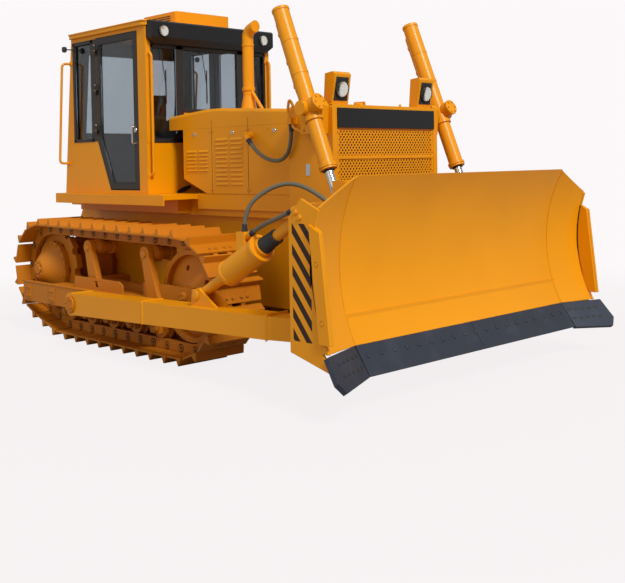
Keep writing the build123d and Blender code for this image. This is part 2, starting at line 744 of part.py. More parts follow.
with BuildPart() as side_panels:
    for side, sign in SIDES:
        faces = (sign * (HOOD_HALF - PANEL_THICK), sign * HOOD_HALF)
        for rear, front in PANEL_SPANS:
            foot = [(rear, PANEL_LOW_Z), (front, PANEL_LOW_Z)]
            if rear == PANEL_SPANS[0][0]:
                foot[0] = (rear + PANEL_CUT[0], PANEL_LOW_Z)
                foot.insert(0, (rear, PANEL_LOW_Z + PANEL_CUT[1]))
            side_view((*foot, (front, HOOD_BAND_Z - SEAT), (rear, HOOD_BAND_Z - SEAT)), *faces)
        for (rear, front, top, step), count in zip(LOUVRES, LOUVRE_COUNT):
            for row in range(count):
                low = top - LOUVRE_HIGH - step * row
                lip = (
                    (sign * (HOOD_HALF - 1), low),
                    (sign * (HOOD_HALF + LOUVRE_OUT), low),
                    (sign * (HOOD_HALF + LOUVRE_OUT - 3), low + 8),
                    (sign * (HOOD_HALF - 1), low + LOUVRE_HIGH),
                )
                front_view(lip, rear, front)
        # Port of the lift cylinder's hose: a boss on the panel and an elbow out of it
        port, towards = (Vector(x, sign * y, z) for x, y, z in LIFT_HOSE[:2])
        elbow = port - (towards - port).normalized() * 60
        boss_y = (sign * (HOOD_HALF - 2), elbow.Y + sign * 12)
        bar((elbow.X, boss_y[0], elbow.Z), (elbow.X, boss_y[1], elbow.Z), GLAND_R + 6)
        bar(tuple(elbow), tuple(port), GLAND_R)
save(side_panels, "side_panels")

with BuildPart() as side_sills:
    for side, sign in SIDES:
        block(
            (DECK_FRONT_X + SEAT, RAD_REAR_X),
            (sign * (SILL_HALF + SEAT), sign * (HOOD_HALF - 4)),
            (SILL_LOW_Z + 60, PANEL_LOW_Z - SEAT),
        )
save(side_sills, "side_sills")

# ---------------------------------------------------------------- radiator housing
GRILLE_LOW_Z = 760
GRILLE_HALF = RAD_HALF - 50

with BuildPart() as radiator_housing:
    block((RAD_REAR_X + SEAT, RAD_FRONT_X), (-RAD_HALF, RAD_HALF), (RAD_LOW_Z + SEAT, RAD_TOP_Z))
    fillet(radiator_housing.edges().filter_by(Axis.X).group_by(Axis.Z)[-1], 30)
    # Recess that the grille closes, open into the hollow behind it
    block(
        (RAD_FRONT_X - GRILLE_THICK - 8, RAD_FRONT_X),
        (-GRILLE_HALF, GRILLE_HALF),
        (GRILLE_LOW_Z, BAND_LOW_Z),
        mode=Mode.SUBTRACT,
    )
    block(
        (RAD_REAR_X + RAD_WALL, RAD_FRONT_X - GRILLE_THICK - 8),
        (-GRILLE_HALF + 40, GRILLE_HALF - 40),
        (GRILLE_LOW_Z + 40, BAND_LOW_Z - 40),
        mode=Mode.SUBTRACT,
    )
    # Bosses that the lift cylinders' hoses run up to
    for side, sign in SIDES:
        hose_x, hose_y, hose_z = LIFT_HOSE[-1]
        block(
            (hose_x - GLAND_R, hose_x + GLAND_R),
            (sign * (RAD_HALF - 2), sign * (hose_y + GLAND_R)),
            (hose_z, hose_z + 52),
        )
save(radiator_housing, "radiator_housing")

with BuildPart() as grille:
    block(
        (RAD_FRONT_X - GRILLE_THICK - 8, RAD_FRONT_X - 8),
        (-GRILLE_HALF + SEAT, GRILLE_HALF - SEAT),
        (GRILLE_LOW_Z + SEAT, BAND_LOW_Z - SEAT),
    )
save(grille, "grille")

with BuildPart() as front_band:
    block((RAD_FRONT_X + SEAT, RAD_FRONT_X + 12), (-GRILLE_HALF, GRILLE_HALF), (BAND_LOW_Z, BAND_HIGH_Z))
save(front_band, "front_band")

# Brackets that carry the lift cylinders' trunnions
YOKE_ARM_IN = RAD_HALF + SEAT
TRUNNION_PIN_R = 24

with BuildPart() as lift_brackets:
    for side, sign in SIDES:
        face = sign * (CYL_Y - BARREL_R - RUNNING - 2)
        side_view(
            (
                (LIFT_PIN_X - 190, LIFT_PIN_Z - 190),
                (LIFT_PIN_X + 40, LIFT_PIN_Z - 190),
                (LIFT_PIN_X + 55, LIFT_PIN_Z + 20),
                (LIFT_PIN_X + 30, LIFT_PIN_Z + 62),
                (LIFT_PIN_X - 60, LIFT_PIN_Z + 62),
                (LIFT_PIN_X - 190, LIFT_PIN_Z - 60),
            ),
            sign * YOKE_ARM_IN,
            face,
        )
        cross_bar(
            LIFT_PIN_X, LIFT_PIN_Z, TRUNNION_PIN_R + SEAT, sign * YOKE_ARM_IN, face, mode=Mode.SUBTRACT
        )
save(lift_brackets, "lift_brackets")

LAMP_BASE_X = RAD_FRONT_X - 125
LAMP_FRONT_X = RAD_FRONT_X
LAMP_LOW_Z = RAD_TOP_Z
LAMP_HIGH_Z = RAD_TOP_Z + 250
LAMP_Y = RAD_HALF - 122
LAMP_HALF = 90

with BuildPart() as work_lamps:
    for side, sign in SIDES:
        side_view(
            (
                (LAMP_BASE_X, LAMP_LOW_Z + SEAT),
                (LAMP_FRONT_X - 40, LAMP_LOW_Z + SEAT),
                (LAMP_FRONT_X, LAMP_HIGH_Z - 20),
                (LAMP_FRONT_X - 20, LAMP_HIGH_Z),
                (LAMP_BASE_X + 20, LAMP_HIGH_Z - 10),
            ),
            sign * (LAMP_Y - LAMP_HALF),
            sign * (LAMP_Y + LAMP_HALF),
        )
save(work_lamps, "work_lamps")

EXHAUST_X = -70
EXHAUST_Y = -40
EXHAUST_R = 52
EXHAUST_LOW_Z = HOOD_CREST_Z + SEAT
EXHAUST_RISE = 724
EXHAUST_ELBOW_Z = EXHAUST_LOW_Z + EXHAUST_RISE
EXHAUST_TIP = (EXHAUST_X + 150, EXHAUST_ELBOW_Z + 50)
EXHAUST_CUT_X = EXHAUST_X + 112

with BuildPart() as exhaust:
    with BuildLine(Plane.XZ.offset(-EXHAUST_Y)) as pipe_run:
        FilletPolyline(
            (EXHAUST_X, EXHAUST_LOW_Z), (EXHAUST_X, EXHAUST_ELBOW_Z), EXHAUST_TIP, radius=EXHAUST_R + 30
        )
    with BuildSketch(Plane(origin=(EXHAUST_X, EXHAUST_Y, EXHAUST_LOW_Z))):
        Circle(EXHAUST_R)
    sweep()
    # The mouth is cut upright, and the foot is flared
    block(
        (EXHAUST_CUT_X, EXHAUST_TIP[0] + 2 * EXHAUST_R),
        (EXHAUST_Y - 2 * EXHAUST_R, EXHAUST_Y + 2 * EXHAUST_R),
        (EXHAUST_ELBOW_Z - 2 * EXHAUST_R, EXHAUST_ELBOW_Z + 4 * EXHAUST_R),
        mode=Mode.SUBTRACT,
    )
    with Locations((EXHAUST_X, EXHAUST_Y, EXHAUST_LOW_Z)):
        Cone(EXHAUST_R + 24, EXHAUST_R - 1, 130, align=(Align.CENTER, Align.CENTER, Align.MIN))
save(exhaust, "exhaust")

# ---------------------------------------------------------------- cab
CAB_LOW_Z = DECK_Z + SEAT
DOOR_OUT_Y = CAB_HALF + 2
HINGE_LINE_X = DOOR_HINGE_X - 6
WINDOW_REAR_X = -1966
WINDOW_LOW_Z = 1919
WINDOW_HIGH_Z = 2880
QUARTER_FRONT_X = -1630
SCREEN_HIGH_Z = 2750
SCREEN_LOW_Z = HOOD_CREST_Z + 22
SCREEN_HALF = 340
FRONT_LIGHT_LOW_Z = 1884
FRONT_LIGHT_YS = (400, CAB_HALF - 22)
REAR_LIGHT_HALF = 560
REAR_LIGHT_ZS = (2000, 2800)

cab_side = (
    (CAB_FRONT_X, CAB_LOW_Z),
    (CAB_FRONT_X, CAB_TOP_Z),
    (CAB_REAR_X, CAB_TOP_Z),
    (CAB_REAR_LOW_X, CAB_LOW_Z),
)

with BuildPart() as cab_shell:
    side_view(cab_side, -CAB_HALF, CAB_HALF)
    side_view(
        (
            (CAB_FRONT_X - CAB_WALL, CAB_LOW_Z + CAB_WALL),
            (CAB_FRONT_X - CAB_WALL, CAB_TOP_Z),
            (CAB_REAR_X + CAB_WALL, CAB_TOP_Z),
            (CAB_REAR_LOW_X + CAB_WALL, CAB_LOW_Z + CAB_WALL),
        ),
        -CAB_HALF + CAB_WALL,
        CAB_HALF - CAB_WALL,
        mode=Mode.SUBTRACT,
    )
    for side, sign in SIDES:
        wall = (sign * (CAB_HALF - CAB_WALL), sign * CAB_HALF)
        # Doorway, with its slanted lower corner
        side_view(
            (
                (DOOR_FRONT_X + DOOR_GAP, DOOR_LOW_Z - 10),
                (DOOR_FRONT_X + DOOR_GAP, DOOR_HIGH_Z + DOOR_GAP),
                (DOOR_HINGE_X - DOOR_GAP, DOOR_HIGH_Z + DOOR_GAP),
                (DOOR_HINGE_X - DOOR_GAP, DOOR_CORNER[1] - 2),
                (DOOR_CORNER[0] - DOOR_GAP, DOOR_LOW_Z - 10),
            ),
            *wall,
            mode=Mode.SUBTRACT,
        )
        # Fixed window behind the door
        block((WINDOW_REAR_X, QUARTER_FRONT_X), wall, (WINDOW_LOW_Z, WINDOW_HIGH_Z), mode=Mode.SUBTRACT)
    front_wall = (CAB_FRONT_X - CAB_WALL, CAB_FRONT_X)
    # Side windows of the front face reach down beside the hood; the windscreen ends above it
    for side, sign in SIDES:
        light_ys = [sign * y for y in FRONT_LIGHT_YS]
        block(front_wall, light_ys, (FRONT_LIGHT_LOW_Z, SCREEN_HIGH_Z), mode=Mode.SUBTRACT)
    block(front_wall, (-SCREEN_HALF, SCREEN_HALF), (SCREEN_LOW_Z, SCREEN_HIGH_Z), mode=Mode.SUBTRACT)
    rear_wall = (CAB_REAR_LOW_X - 20, CAB_REAR_X + CAB_WALL + 20)
    block(rear_wall, (-REAR_LIGHT_HALF, REAR_LIGHT_HALF), REAR_LIGHT_ZS, mode=Mode.SUBTRACT)
    # Lower halves of the doors' hinges
    for side, sign in SIDES:
        for z in HINGE_ZS:
            line_y = sign * (DOOR_OUT_Y + HINGE_OUT)
            bar((HINGE_LINE_X, line_y, z - HINGE_HALF), (HINGE_LINE_X, line_y, z), HINGE_R)
            block((HINGE_LINE_X - 50, HINGE_LINE_X), (sign * (CAB_HALF - 5), line_y), (z - HINGE_HALF, z))
save(cab_shell, "cab_shell")


def pane(x_range, y_range, z_range):
    """Add one flat pane of glass, clear of its frame by the seat gap all round."""
    limits = [sorted(pair) for pair in (x_range, y_range, z_range)]
    thin = min(range(3), key=lambda index: limits[index][1] - limits[index][0])
    for index, pair in enumerate(limits):
        if index != thin:
            pair[0] += SEAT
            pair[1] -= SEAT
    block(*limits)


GLASS_INSET = 18
glass_front_x = (CAB_FRONT_X - GLASS_INSET - GLASS, CAB_FRONT_X - GLASS_INSET)


def cab_rear(z):
    """Station of the cab's leaning rear face at a height."""
    share = (CAB_TOP_Z - z) / (CAB_TOP_Z - CAB_LOW_Z)
    return CAB_REAR_X + (CAB_REAR_LOW_X - CAB_REAR_X) * share


with BuildPart() as cab_windows:
    for side, sign in SIDES:
        glass_y = (sign * (CAB_HALF - GLASS_INSET - GLASS), sign * (CAB_HALF - GLASS_INSET))
        pane((WINDOW_REAR_X, QUARTER_FRONT_X), glass_y, (WINDOW_LOW_Z, WINDOW_HIGH_Z))
        pane(glass_front_x, [sign * y for y in FRONT_LIGHT_YS], (FRONT_LIGHT_LOW_Z, SCREEN_HIGH_Z))
    pane(glass_front_x, (-SCREEN_HALF, SCREEN_HALF), (SCREEN_LOW_Z, SCREEN_HIGH_Z))
    low, high = REAR_LIGHT_ZS[0] + SEAT, REAR_LIGHT_ZS[1] - SEAT
    side_view(
        (
            (cab_rear(low) + GLASS_INSET, low),
            (cab_rear(high) + GLASS_INSET, high),
            (cab_rear(high) + GLASS_INSET + GLASS, high),
            (cab_rear(low) + GLASS_INSET + GLASS, low),
        ),
        -REAR_LIGHT_HALF + SEAT,
        REAR_LIGHT_HALF - SEAT,
    )
save(cab_windows, "cab_windows")

with BuildPart() as cab_roof:
    block(
        (CAB_REAR_X - ROOF_OVERHANG, CAB_FRONT_X + ROOF_FRONT),
        (-CAB_HALF - ROOF_OVERHANG, CAB_HALF + ROOF_OVERHANG),
        (CAB_TOP_Z + SEAT, CAB_TOP_Z + ROOF_THICK),
    )
    fillet(cab_roof.edges().filter_by(Axis.Z), 60)
save(cab_roof, "cab_roof")

ROOF_UNIT_X = (CAB_REAR_X + 345, CAB_FRONT_X - 385)
ROOF_UNIT_Y = (-115, 565)
ROOF_UNIT_HEIGHT = 190
roof_top_z = CAB_TOP_Z + ROOF_THICK

with BuildPart() as roof_unit:
    block(ROOF_UNIT_X, ROOF_UNIT_Y, (roof_top_z + SEAT, roof_top_z + ROOF_UNIT_HEIGHT))
    fillet(roof_unit.edges().filter_by(Axis.Z), 40)
save(roof_unit, "roof_unit")

VISOR_FRONT_X = CAB_FRONT_X + 90
VISOR_LOW_Z = CAB_TOP_Z - 168
VISOR_HIGH_Z = CAB_TOP_Z + 42
VISOR_HALF = CAB_HALF - 12
VISOR_CORNER = 55

with BuildPart() as visor:
    side_view(
        (
            (CAB_FRONT_X + SEAT, VISOR_LOW_Z),
            (VISOR_FRONT_X - 40, VISOR_LOW_Z),
            (VISOR_FRONT_X, VISOR_LOW_Z + 60),
            (VISOR_FRONT_X, VISOR_HIGH_Z - 15),
            (VISOR_FRONT_X - 20, VISOR_HIGH_Z),
            (CAB_FRONT_X + ROOF_FRONT + 2, VISOR_HIGH_Z),
            (CAB_FRONT_X + ROOF_FRONT + 2, CAB_TOP_Z - 2),
            (CAB_FRONT_X + SEAT, CAB_TOP_Z - 2),
        ),
        -VISOR_HALF,
        VISOR_HALF,
    )
    # The lower outer corners are cut away on a slant
    for side, sign in SIDES:
        front_view(
            (
                (sign * (VISOR_HALF - VISOR_CORNER), VISOR_LOW_Z - 1),
                (sign * (VISOR_HALF + 1), VISOR_LOW_Z - 1),
                (sign * (VISOR_HALF + 1), VISOR_LOW_Z + VISOR_CORNER),
            ),
            CAB_FRONT_X,
            VISOR_FRONT_X + 1,
            mode=Mode.SUBTRACT,
        )
save(visor, "visor")

SEAT_X = -1480
SEAT_HALF = 240
SEAT_BACK = 680               # height of the backrest above the pan's underside
FLOOR_Z = CAB_LOW_Z + CAB_WALL
SEAT_PAN_Z = FLOOR_Z + 330

with BuildPart() as operator_seat:
    block((SEAT_X - 240, SEAT_X + 240), (-SEAT_HALF, SEAT_HALF), (SEAT_PAN_Z, SEAT_PAN_Z + 130))
    back_y = (-SEAT_HALF + 10, SEAT_HALF - 10)
    block((SEAT_X - 320, SEAT_X - 190), back_y, (SEAT_PAN_Z + 100, SEAT_PAN_Z + SEAT_BACK))
    block((SEAT_X - 160, SEAT_X + 160), (-SEAT_HALF + 90, SEAT_HALF - 90), (FLOOR_Z + SEAT, SEAT_PAN_Z + 5))
save(operator_seat, "operator_seat")

CONSOLE_X = CAB_FRONT_X - CAB_WALL
CONSOLE_HEIGHT = 688
CONSOLE_HIGH_Z = FLOOR_Z + CONSOLE_HEIGHT
CONSOLE_HALF = 360

with BuildPart() as console:
    side_view(
        (
            (CONSOLE_X - 300, FLOOR_Z + SEAT),
            (CONSOLE_X - SEAT, FLOOR_Z + SEAT),
            (CONSOLE_X - SEAT, CONSOLE_HIGH_Z),
            (CONSOLE_X - 200, CONSOLE_HIGH_Z - 40),
            (CONSOLE_X - 330, CONSOLE_HIGH_Z - 140),
        ),
        -CONSOLE_HALF,
        CONSOLE_HALF,
    )
save(console, "console")

# ---------------------------------------------------------------- doors
DOOR_FRAME = 62

for side, sign in SIDES:
    faces = (sign * (DOOR_OUT_Y - DOOR_THICK), sign * DOOR_OUT_Y)
    outline = (
        (DOOR_FRONT_X, DOOR_LOW_Z),
        (DOOR_FRONT_X, DOOR_HIGH_Z),
        (DOOR_HINGE_X, DOOR_HIGH_Z),
        (DOOR_HINGE_X, DOOR_CORNER[1]),
        (DOOR_CORNER[0], DOOR_LOW_Z),
    )
    with BuildPart() as door:
        side_view(outline, *faces)
        with BuildSketch(Plane.XZ.offset(-sign * DOOR_OUT_Y)) as light:
            with BuildLine():
                Polyline(*outline, close=True)
            make_face()
            offset(amount=-DOOR_FRAME, kind=Kind.INTERSECTION, mode=Mode.REPLACE)
        extrude(light.sketch, amount=2 * DOOR_THICK, both=True, mode=Mode.SUBTRACT)
        for z in HINGE_ZS:
            line_y = sign * (DOOR_OUT_Y + HINGE_OUT)
            bar((HINGE_LINE_X, line_y, z + SEAT), (HINGE_LINE_X, line_y, z + HINGE_HALF), HINGE_R)
            leaf_y = (sign * (DOOR_OUT_Y - 2), line_y)
            block((HINGE_LINE_X, HINGE_LINE_X + 50), leaf_y, (z + SEAT, z + HINGE_HALF))
    save(door, f"door_{side}")
    with BuildPart() as door_glass:
        with BuildSketch(Plane.XZ.offset(-sign * (DOOR_OUT_Y - DOOR_THICK / 2))) as light:
            with BuildLine():
                Polyline(*outline, close=True)
            make_face()
            offset(amount=-DOOR_FRAME - SEAT, kind=Kind.INTERSECTION, mode=Mode.REPLACE)
        extrude(light.sketch, amount=GLASS / 2, both=True)
    save(door_glass, f"door_glass_{side}")

# ---------------------------------------------------------------- blade
def moldboard_face(shift):
    """Closed section of the curved plate: its front arc and, behind it, its back arc."""
    with BuildLine() as line:
        front = ThreePointArc(
            (BLADE_LOW[0] + shift, BLADE_LOW[1]),
            (BLADE_MID[0] + shift, BLADE_MID[1]),
            (BLADE_TOP[0] + shift, BLADE_TOP[1]),
        )
        back = ThreePointArc(
            (BLADE_LOW[0] + shift - BLADE_PLATE, BLADE_LOW[1]),
            (BLADE_MID[0] + shift - BLADE_PLATE, BLADE_MID[1]),
            (BLADE_TOP[0] + shift - BLADE_PLATE, BLADE_TOP[1]),
        )
        Line(front @ 0, back @ 0)
        Line(front @ 1, back @ 1)
    return line


def wing_shift(y):
    """How far the wing has come forward at a distance from the centre plane."""
    share = (y - BLADE_FOLD_Y) / (BLADE_HALF - SIDE_PLATE - BLADE_FOLD_Y)
    return BLADE_WING_FORWARD * max(0, share)


# Braces from the push arms up to the back of the blade: each eye lies between two ears
BRACE_LOW = (868, 658)
BRACE_HIGH = (2085, 1330)
BRACE_Y = ARM_INNER_Y + 68
BRACE_EYE_HALF = 40
BRACE_EAR_THICK = 22
BRACE_EAR_STATIONS = (
    BRACE_Y + BRACE_EYE_HALF + SEAT,
    BRACE_Y - BRACE_EYE_HALF - SEAT - BRACE_EAR_THICK,
)

# Straight hose from the tilt cylinder to the ear outside its rod
LINK_HOSE = (
    (1490, BRACE_Y + 22, 1150),
    (1640, BRACE_Y + 55, 1215),
    (1820, BRACE_Y + 70, 1270),
    (1990, BRACE_Y + 70, 1330),
)

RIB_YS = (-1050, -640, -210, 210, 640, 1050)
RIB_THICK = 22
CHEEK_LIP = 12
CHEEK_TOE = (2552, 318)       # lowest corner of the side plate, behind the end bit
CHEEK_STEP_X = 2450           # where its front edge steps back over the end bit
CHEEK_SHOULDER = (2273, 1423) # upper rear corner, cut on a slant down to the rear edge
CHEEK_REAR_ZS = (420, 1300)
# Stiffening strip outside the side plate, from its lower front corner
STRIP_THICK = 22
STRIP = ((2540, 505), (2460, 1210), (2364, 1262), (2444, 505))
STRIP_BOLTS = ((2472, 640), (2430, 1010))
STRIP_BOLT_R = 17
# Boss on the back of the plate, where the arched hose ends
ARCH_HOSE = (
    (1390, BRACE_Y, 1160),
    (1390, BRACE_Y, 1326),
    (1500, BRACE_Y - 130, 1470),
    (1690, BRACE_Y - 220, 1520),
    (1900, BRACE_Y - 320, 1400),
    (2050, BRACE_Y - 370, 1230),
    (2170, BRACE_Y - 400, 1060),
)
BACK_LOW_Z = 430
BACK_BOX_Z = 640
TOP_BOX_Z = (1380, 1530)

with BuildPart() as blade:
    with BuildSketch(Plane.XZ) as centre_section:
        add(moldboard_face(0).line)
        make_face()
    extrude(centre_section.sketch, amount=BLADE_FOLD_Y, both=True)
    for side, sign in SIDES:
        with BuildSketch(Plane.XZ.offset(-sign * BLADE_FOLD_Y)) as fold_section:
            add(moldboard_face(0).line)
            make_face()
        with BuildSketch(Plane.XZ.offset(-sign * (BLADE_HALF - SIDE_PLATE))) as end_section:
            add(moldboard_face(BLADE_WING_FORWARD).line)
            make_face()
        loft([fold_section.sketch, end_section.sketch], ruled=True)
    # Cut the upper corners on a slant
    for side, sign in SIDES:
        front_view(
            (
                (sign * BLADE_TOP_HALF, BLADE_TOP[1] + 1),
                (sign * (BLADE_HALF + 10), BLADE_TOP[1] + 1),
                (sign * (BLADE_HALF + 10), BLADE_CORNER_Z),
            ),
            BLADE_BACK_X,
            BLADE_TOP[0] + BLADE_WING_FORWARD + 60,
            mode=Mode.SUBTRACT,
        )
        # Side plate, whose front edge follows the wing's curve
        with BuildSketch(Plane.XZ.offset(-sign * (BLADE_HALF - SIDE_PLATE / 2))) as cheek:
            with BuildLine():
                front_edge = ThreePointArc(
                    (BLADE_LOW[0] + BLADE_WING_FORWARD + CHEEK_LIP, BLADE_LOW[1]),
                    (BLADE_MID[0] + BLADE_WING_FORWARD + CHEEK_LIP, BLADE_MID[1]),
                    (BLADE_LOW[0] + BLADE_WING_FORWARD - 60, BLADE_CORNER_Z),
                )
                Polyline(
                    front_edge @ 1,
                    CHEEK_SHOULDER,
                    (BLADE_BACK_X, CHEEK_REAR_ZS[1]),
                    (BLADE_BACK_X, CHEEK_REAR_ZS[0]),
                    CHEEK_TOE,
                    (CHEEK_STEP_X, BLADE_LOW[1]),
                    front_edge @ 0,
                )
            make_face()
        extrude(cheek.sketch, amount=SIDE_PLATE / 2, both=True)
        strip_faces = (sign * BLADE_HALF, sign * (BLADE_HALF + STRIP_THICK))
        side_view(STRIP, *strip_faces)
        for x, z in STRIP_BOLTS:
            cross_bar(x, z, STRIP_BOLT_R, *strip_faces, mode=Mode.SUBTRACT)
        # Ears for the brace
        for station in BRACE_EAR_STATIONS:
            side_view(
                (
                    (BRACE_HIGH[0] - 50, BRACE_HIGH[1] - 50),
                    (BLADE_MID[0] - 10, BRACE_HIGH[1] - 150),
                    (BLADE_MID[0] + 28 + wing_shift(station), BRACE_HIGH[1] - 60),
                    (BLADE_MID[0] + 65 + wing_shift(station), BRACE_HIGH[1] + 52),
                    (BRACE_HIGH[0] - 30, BRACE_HIGH[1] + 52),
                ),
                sign * station,
                sign * (station + BRACE_EAR_THICK),
            )
    # Boxes along the back, and the ribs between them
    box_y = (-BLADE_HALF + SIDE_PLATE, BLADE_HALF - SIDE_PLATE)
    block((BLADE_BACK_X, BLADE_MID[0] + 60), box_y, (BACK_LOW_Z + 13, BACK_BOX_Z))
    block((BLADE_BACK_X + 60, BLADE_MID[0] + 60), (-BLADE_FOLD_Y, BLADE_FOLD_Y), TOP_BOX_Z)
    for y in RIB_YS:
        side_view(
            (
                (BLADE_BACK_X, BACK_BOX_Z - 5),
                (BLADE_MID[0] - 10, BACK_BOX_Z - 5),
                (BLADE_MID[0] - 20, BLADE_MID[1]),
                (BLADE_MID[0] - 10, TOP_BOX_Z[0] + 5),
                (BLADE_BACK_X + 60, TOP_BOX_Z[0] + 5),
            ),
            y - RIB_THICK / 2,
            y + RIB_THICK / 2,
        )
    # Boss of the arched hose
    before, arch_end = (Vector(x, -y, z) for x, y, z in ARCH_HOSE[-2:])
    run = (arch_end - before).normalized()
    bar(tuple(arch_end), tuple(arch_end + run * 140), GLAND_R)
    # Boss of the straight hose, on the brace's outer ear
    before, link_end = (Vector(x, -y, z) for x, y, z in LINK_HOSE[-2:])
    run = (link_end - before).normalized()
    bar(tuple(link_end), tuple(link_end + run * 110), GLAND_R)
    # Ears for the lift rods
    for side, sign in SIDES:
        for inner in (EYE_THICK / 2 + RUNNING, -EYE_THICK / 2 - RUNNING - 26):
            ear = (sign * (CYL_Y + inner), sign * (CYL_Y + inner + 26))
            side_view(
                (
                    (LIFT_EYE[0] - 30, LIFT_EYE[1] - 62),
                    (BLADE_MID[0] - 15, LIFT_EYE[1] - 160),
                    (BLADE_MID[0] - 15, LIFT_EYE[1] + 140),
                    (LIFT_EYE[0] - 30, LIFT_EYE[1] + 62),
                ),
                *ear,
            )
            cross_bar(*LIFT_EYE, EYE_R, *ear)
        cross_bar(
            *LIFT_EYE,
            EYE_PIN_R,
            sign * (CYL_Y - EYE_THICK / 2 - RUNNING - 30),
            sign * (CYL_Y + EYE_THICK / 2 + RUNNING + 30),
        )
save(blade, "blade")

# Corners of an end bit on its front face, from its upper inner corner: (X, distance from the centre, Z)
BIT_THICK = 36
BIT_INNER_Y = BLADE_FOLD_Y + 6
BIT_CORNERS = (
    (BLADE_LOW[0] - 4, BIT_INNER_Y, BLADE_LOW[1] - SEAT),
    (EDGE_TIP[0] + 2, BIT_INNER_Y, EDGE_TIP[1]),
    (EDGE_TIP[0] + 157, BLADE_HALF + 5, EDGE_TIP[1] - 10),
    (EDGE_TIP[0] + 133, BLADE_HALF + 60, EDGE_TIP[1] + 54),
    (BLADE_LOW[0] + 137, BLADE_HALF + 40, BLADE_LOW[1] - SEAT),
)

with BuildPart() as cutting_edge:
    side_view(
        (
            (BLADE_LOW[0], BLADE_LOW[1] - SEAT),
            EDGE_TIP,
            (EDGE_TIP[0] - EDGE_THICK, EDGE_TIP[1]),
            (BLADE_LOW[0] - EDGE_THICK, BLADE_LOW[1] - SEAT),
        ),
        -BLADE_FOLD_Y + 2,
        BLADE_FOLD_Y - 2,
    )
    for side, sign in SIDES:
        corners = [Vector(x, sign * y, z) for x, y, z in BIT_CORNERS]
        outward = corners[-1] - corners[0]
        downward = corners[1] - corners[0]
        forward = downward.cross(outward)
        if forward.X < 0:
            forward = forward * -1
        bit_plane = Plane(origin=corners[0], x_dir=outward, z_dir=forward)
        flat = [bit_plane.to_local_coords(corner) for corner in corners]
        with BuildSketch(bit_plane) as bit:
            with BuildLine():
                Polyline(*((point.X, point.Y) for point in flat), close=True)
            make_face()
        extrude(bit.sketch, amount=-BIT_THICK)
save(cutting_edge, "cutting_edge")

# ---------------------------------------------------------------- push arms and braces
ARM_HEAD_R = 104


def arm_top(x):
    """Height of the push arm's upper face."""
    rear = LIFT_Z + ARM_HEIGHT / 2
    front = ARM_FRONT_Z + ARM_HEIGHT / 2 - 12
    return rear + (front - rear) * (x - LIFT_X) / (ARM_FRONT_X - LIFT_X)


with BuildPart() as push_arms:
    for side, sign in SIDES:
        faces = (sign * ARM_INNER_Y, sign * ARM_OUTER_Y)
        side_view(
            (
                (LIFT_X, LIFT_Z - ARM_HEIGHT / 2),
                (ARM_FRONT_X, ARM_FRONT_Z - ARM_HEIGHT / 2 + 12),
                (ARM_FRONT_X, ARM_FRONT_Z + ARM_HEIGHT / 2 - 12),
                (LIFT_X, LIFT_Z + ARM_HEIGHT / 2),
            ),
            *faces,
        )
        cross_bar(LIFT_X, LIFT_Z, ARM_HEAD_R, *faces)
        cross_bar(LIFT_X, LIFT_Z, TRUNNION_R + SEAT, *faces, mode=Mode.SUBTRACT)
        for station in BRACE_EAR_STATIONS:
            side_view(
                (
                    (BRACE_LOW[0] - 80, LIFT_Z),
                    (BRACE_LOW[0] + 260, LIFT_Z),
                    (BRACE_LOW[0] + 240, arm_top(BRACE_LOW[0] + 240) + 8),
                    (BRACE_LOW[0] + 40, BRACE_LOW[1] + 50),
                    (BRACE_LOW[0] - 50, BRACE_LOW[1] + 40),
                ),
                sign * station,
                sign * (station + BRACE_EAR_THICK),
            )
        # The front end turns inward to its joint on the back of the blade
        plan_view(
            (
                (ARM_FRONT_X - 5, sign * ARM_INNER_Y),
                (ARM_FRONT_X - 5, sign * ARM_OUTER_Y),
                (BLADE_BACK_X - SEAT, sign * (ARM_OUTER_Y - 110)),
                (BLADE_BACK_X - SEAT, sign * (ARM_INNER_Y - 110)),
            ),
            ARM_FRONT_Z - ARM_HEIGHT / 2 + 14,
            ARM_FRONT_Z + ARM_HEIGHT / 2 - 14,
        )
save(push_arms, "push_arms")

# Braces from the arms up to the back of the blade: a hydraulic one on the right, a screw one on the left
BRACE_BARREL = (0.28, 0.585)  # shares of the brace's length
BRACE_EYE_R = 52
BRACE_R = 98
BRACE_ROD_R = 40

for name, sign, radius in (("tilt_cylinder", -1, BRACE_R), ("screw_brace", 1, 60)):
    foot = Vector(BRACE_LOW[0], sign * BRACE_Y, BRACE_LOW[1])
    head = Vector(BRACE_HIGH[0], sign * BRACE_Y, BRACE_HIGH[1])
    along = head - foot
    with BuildPart() as brace:
        bar(tuple(foot), tuple(foot + along * 0.99), BRACE_ROD_R)
        bar(tuple(foot + along * BRACE_BARREL[0]), tuple(foot + along * BRACE_BARREL[1]), radius)
        cross_bar(foot.X, foot.Z, BRACE_EYE_R, foot.Y - 40, foot.Y + 40)
        cross_bar(head.X, head.Z, BRACE_EYE_R, head.Y - 40, head.Y + 40)
        if name == "tilt_cylinder":
            # Port block on top of the barrel, with an elbow for each hose
            top = Vector(*ARCH_HOSE[0])
            block((top.X - 45, top.X + 45), (-BRACE_Y - 45, -BRACE_Y + 45), (top.Z - 160, top.Z))
            start, towards = (Vector(x, -y, z) for x, y, z in LINK_HOSE[:2])
            bar(tuple(start - (towards - start).normalized() * 100), tuple(start), GLAND_R)
    save(brace, name)

# ---------------------------------------------------------------- lift cylinders
pin = Vector(LIFT_PIN_X, 0, LIFT_PIN_Z)
reach = Vector(LIFT_EYE[0], 0, LIFT_EYE[1]) - pin
down = reach.normalized()
forward = Vector(-down.Z, 0, down.X)
CAP_R = 62
CAP_OUT = 128                 # face of the cap ahead of the barrel's axis
COLLAR = (72, 105)            # ring below the trunnion, measured down the barrel
CYL_CAP = 34
ROD_ABOVE = 240               # length of rod above the trunnion, inside the barrel

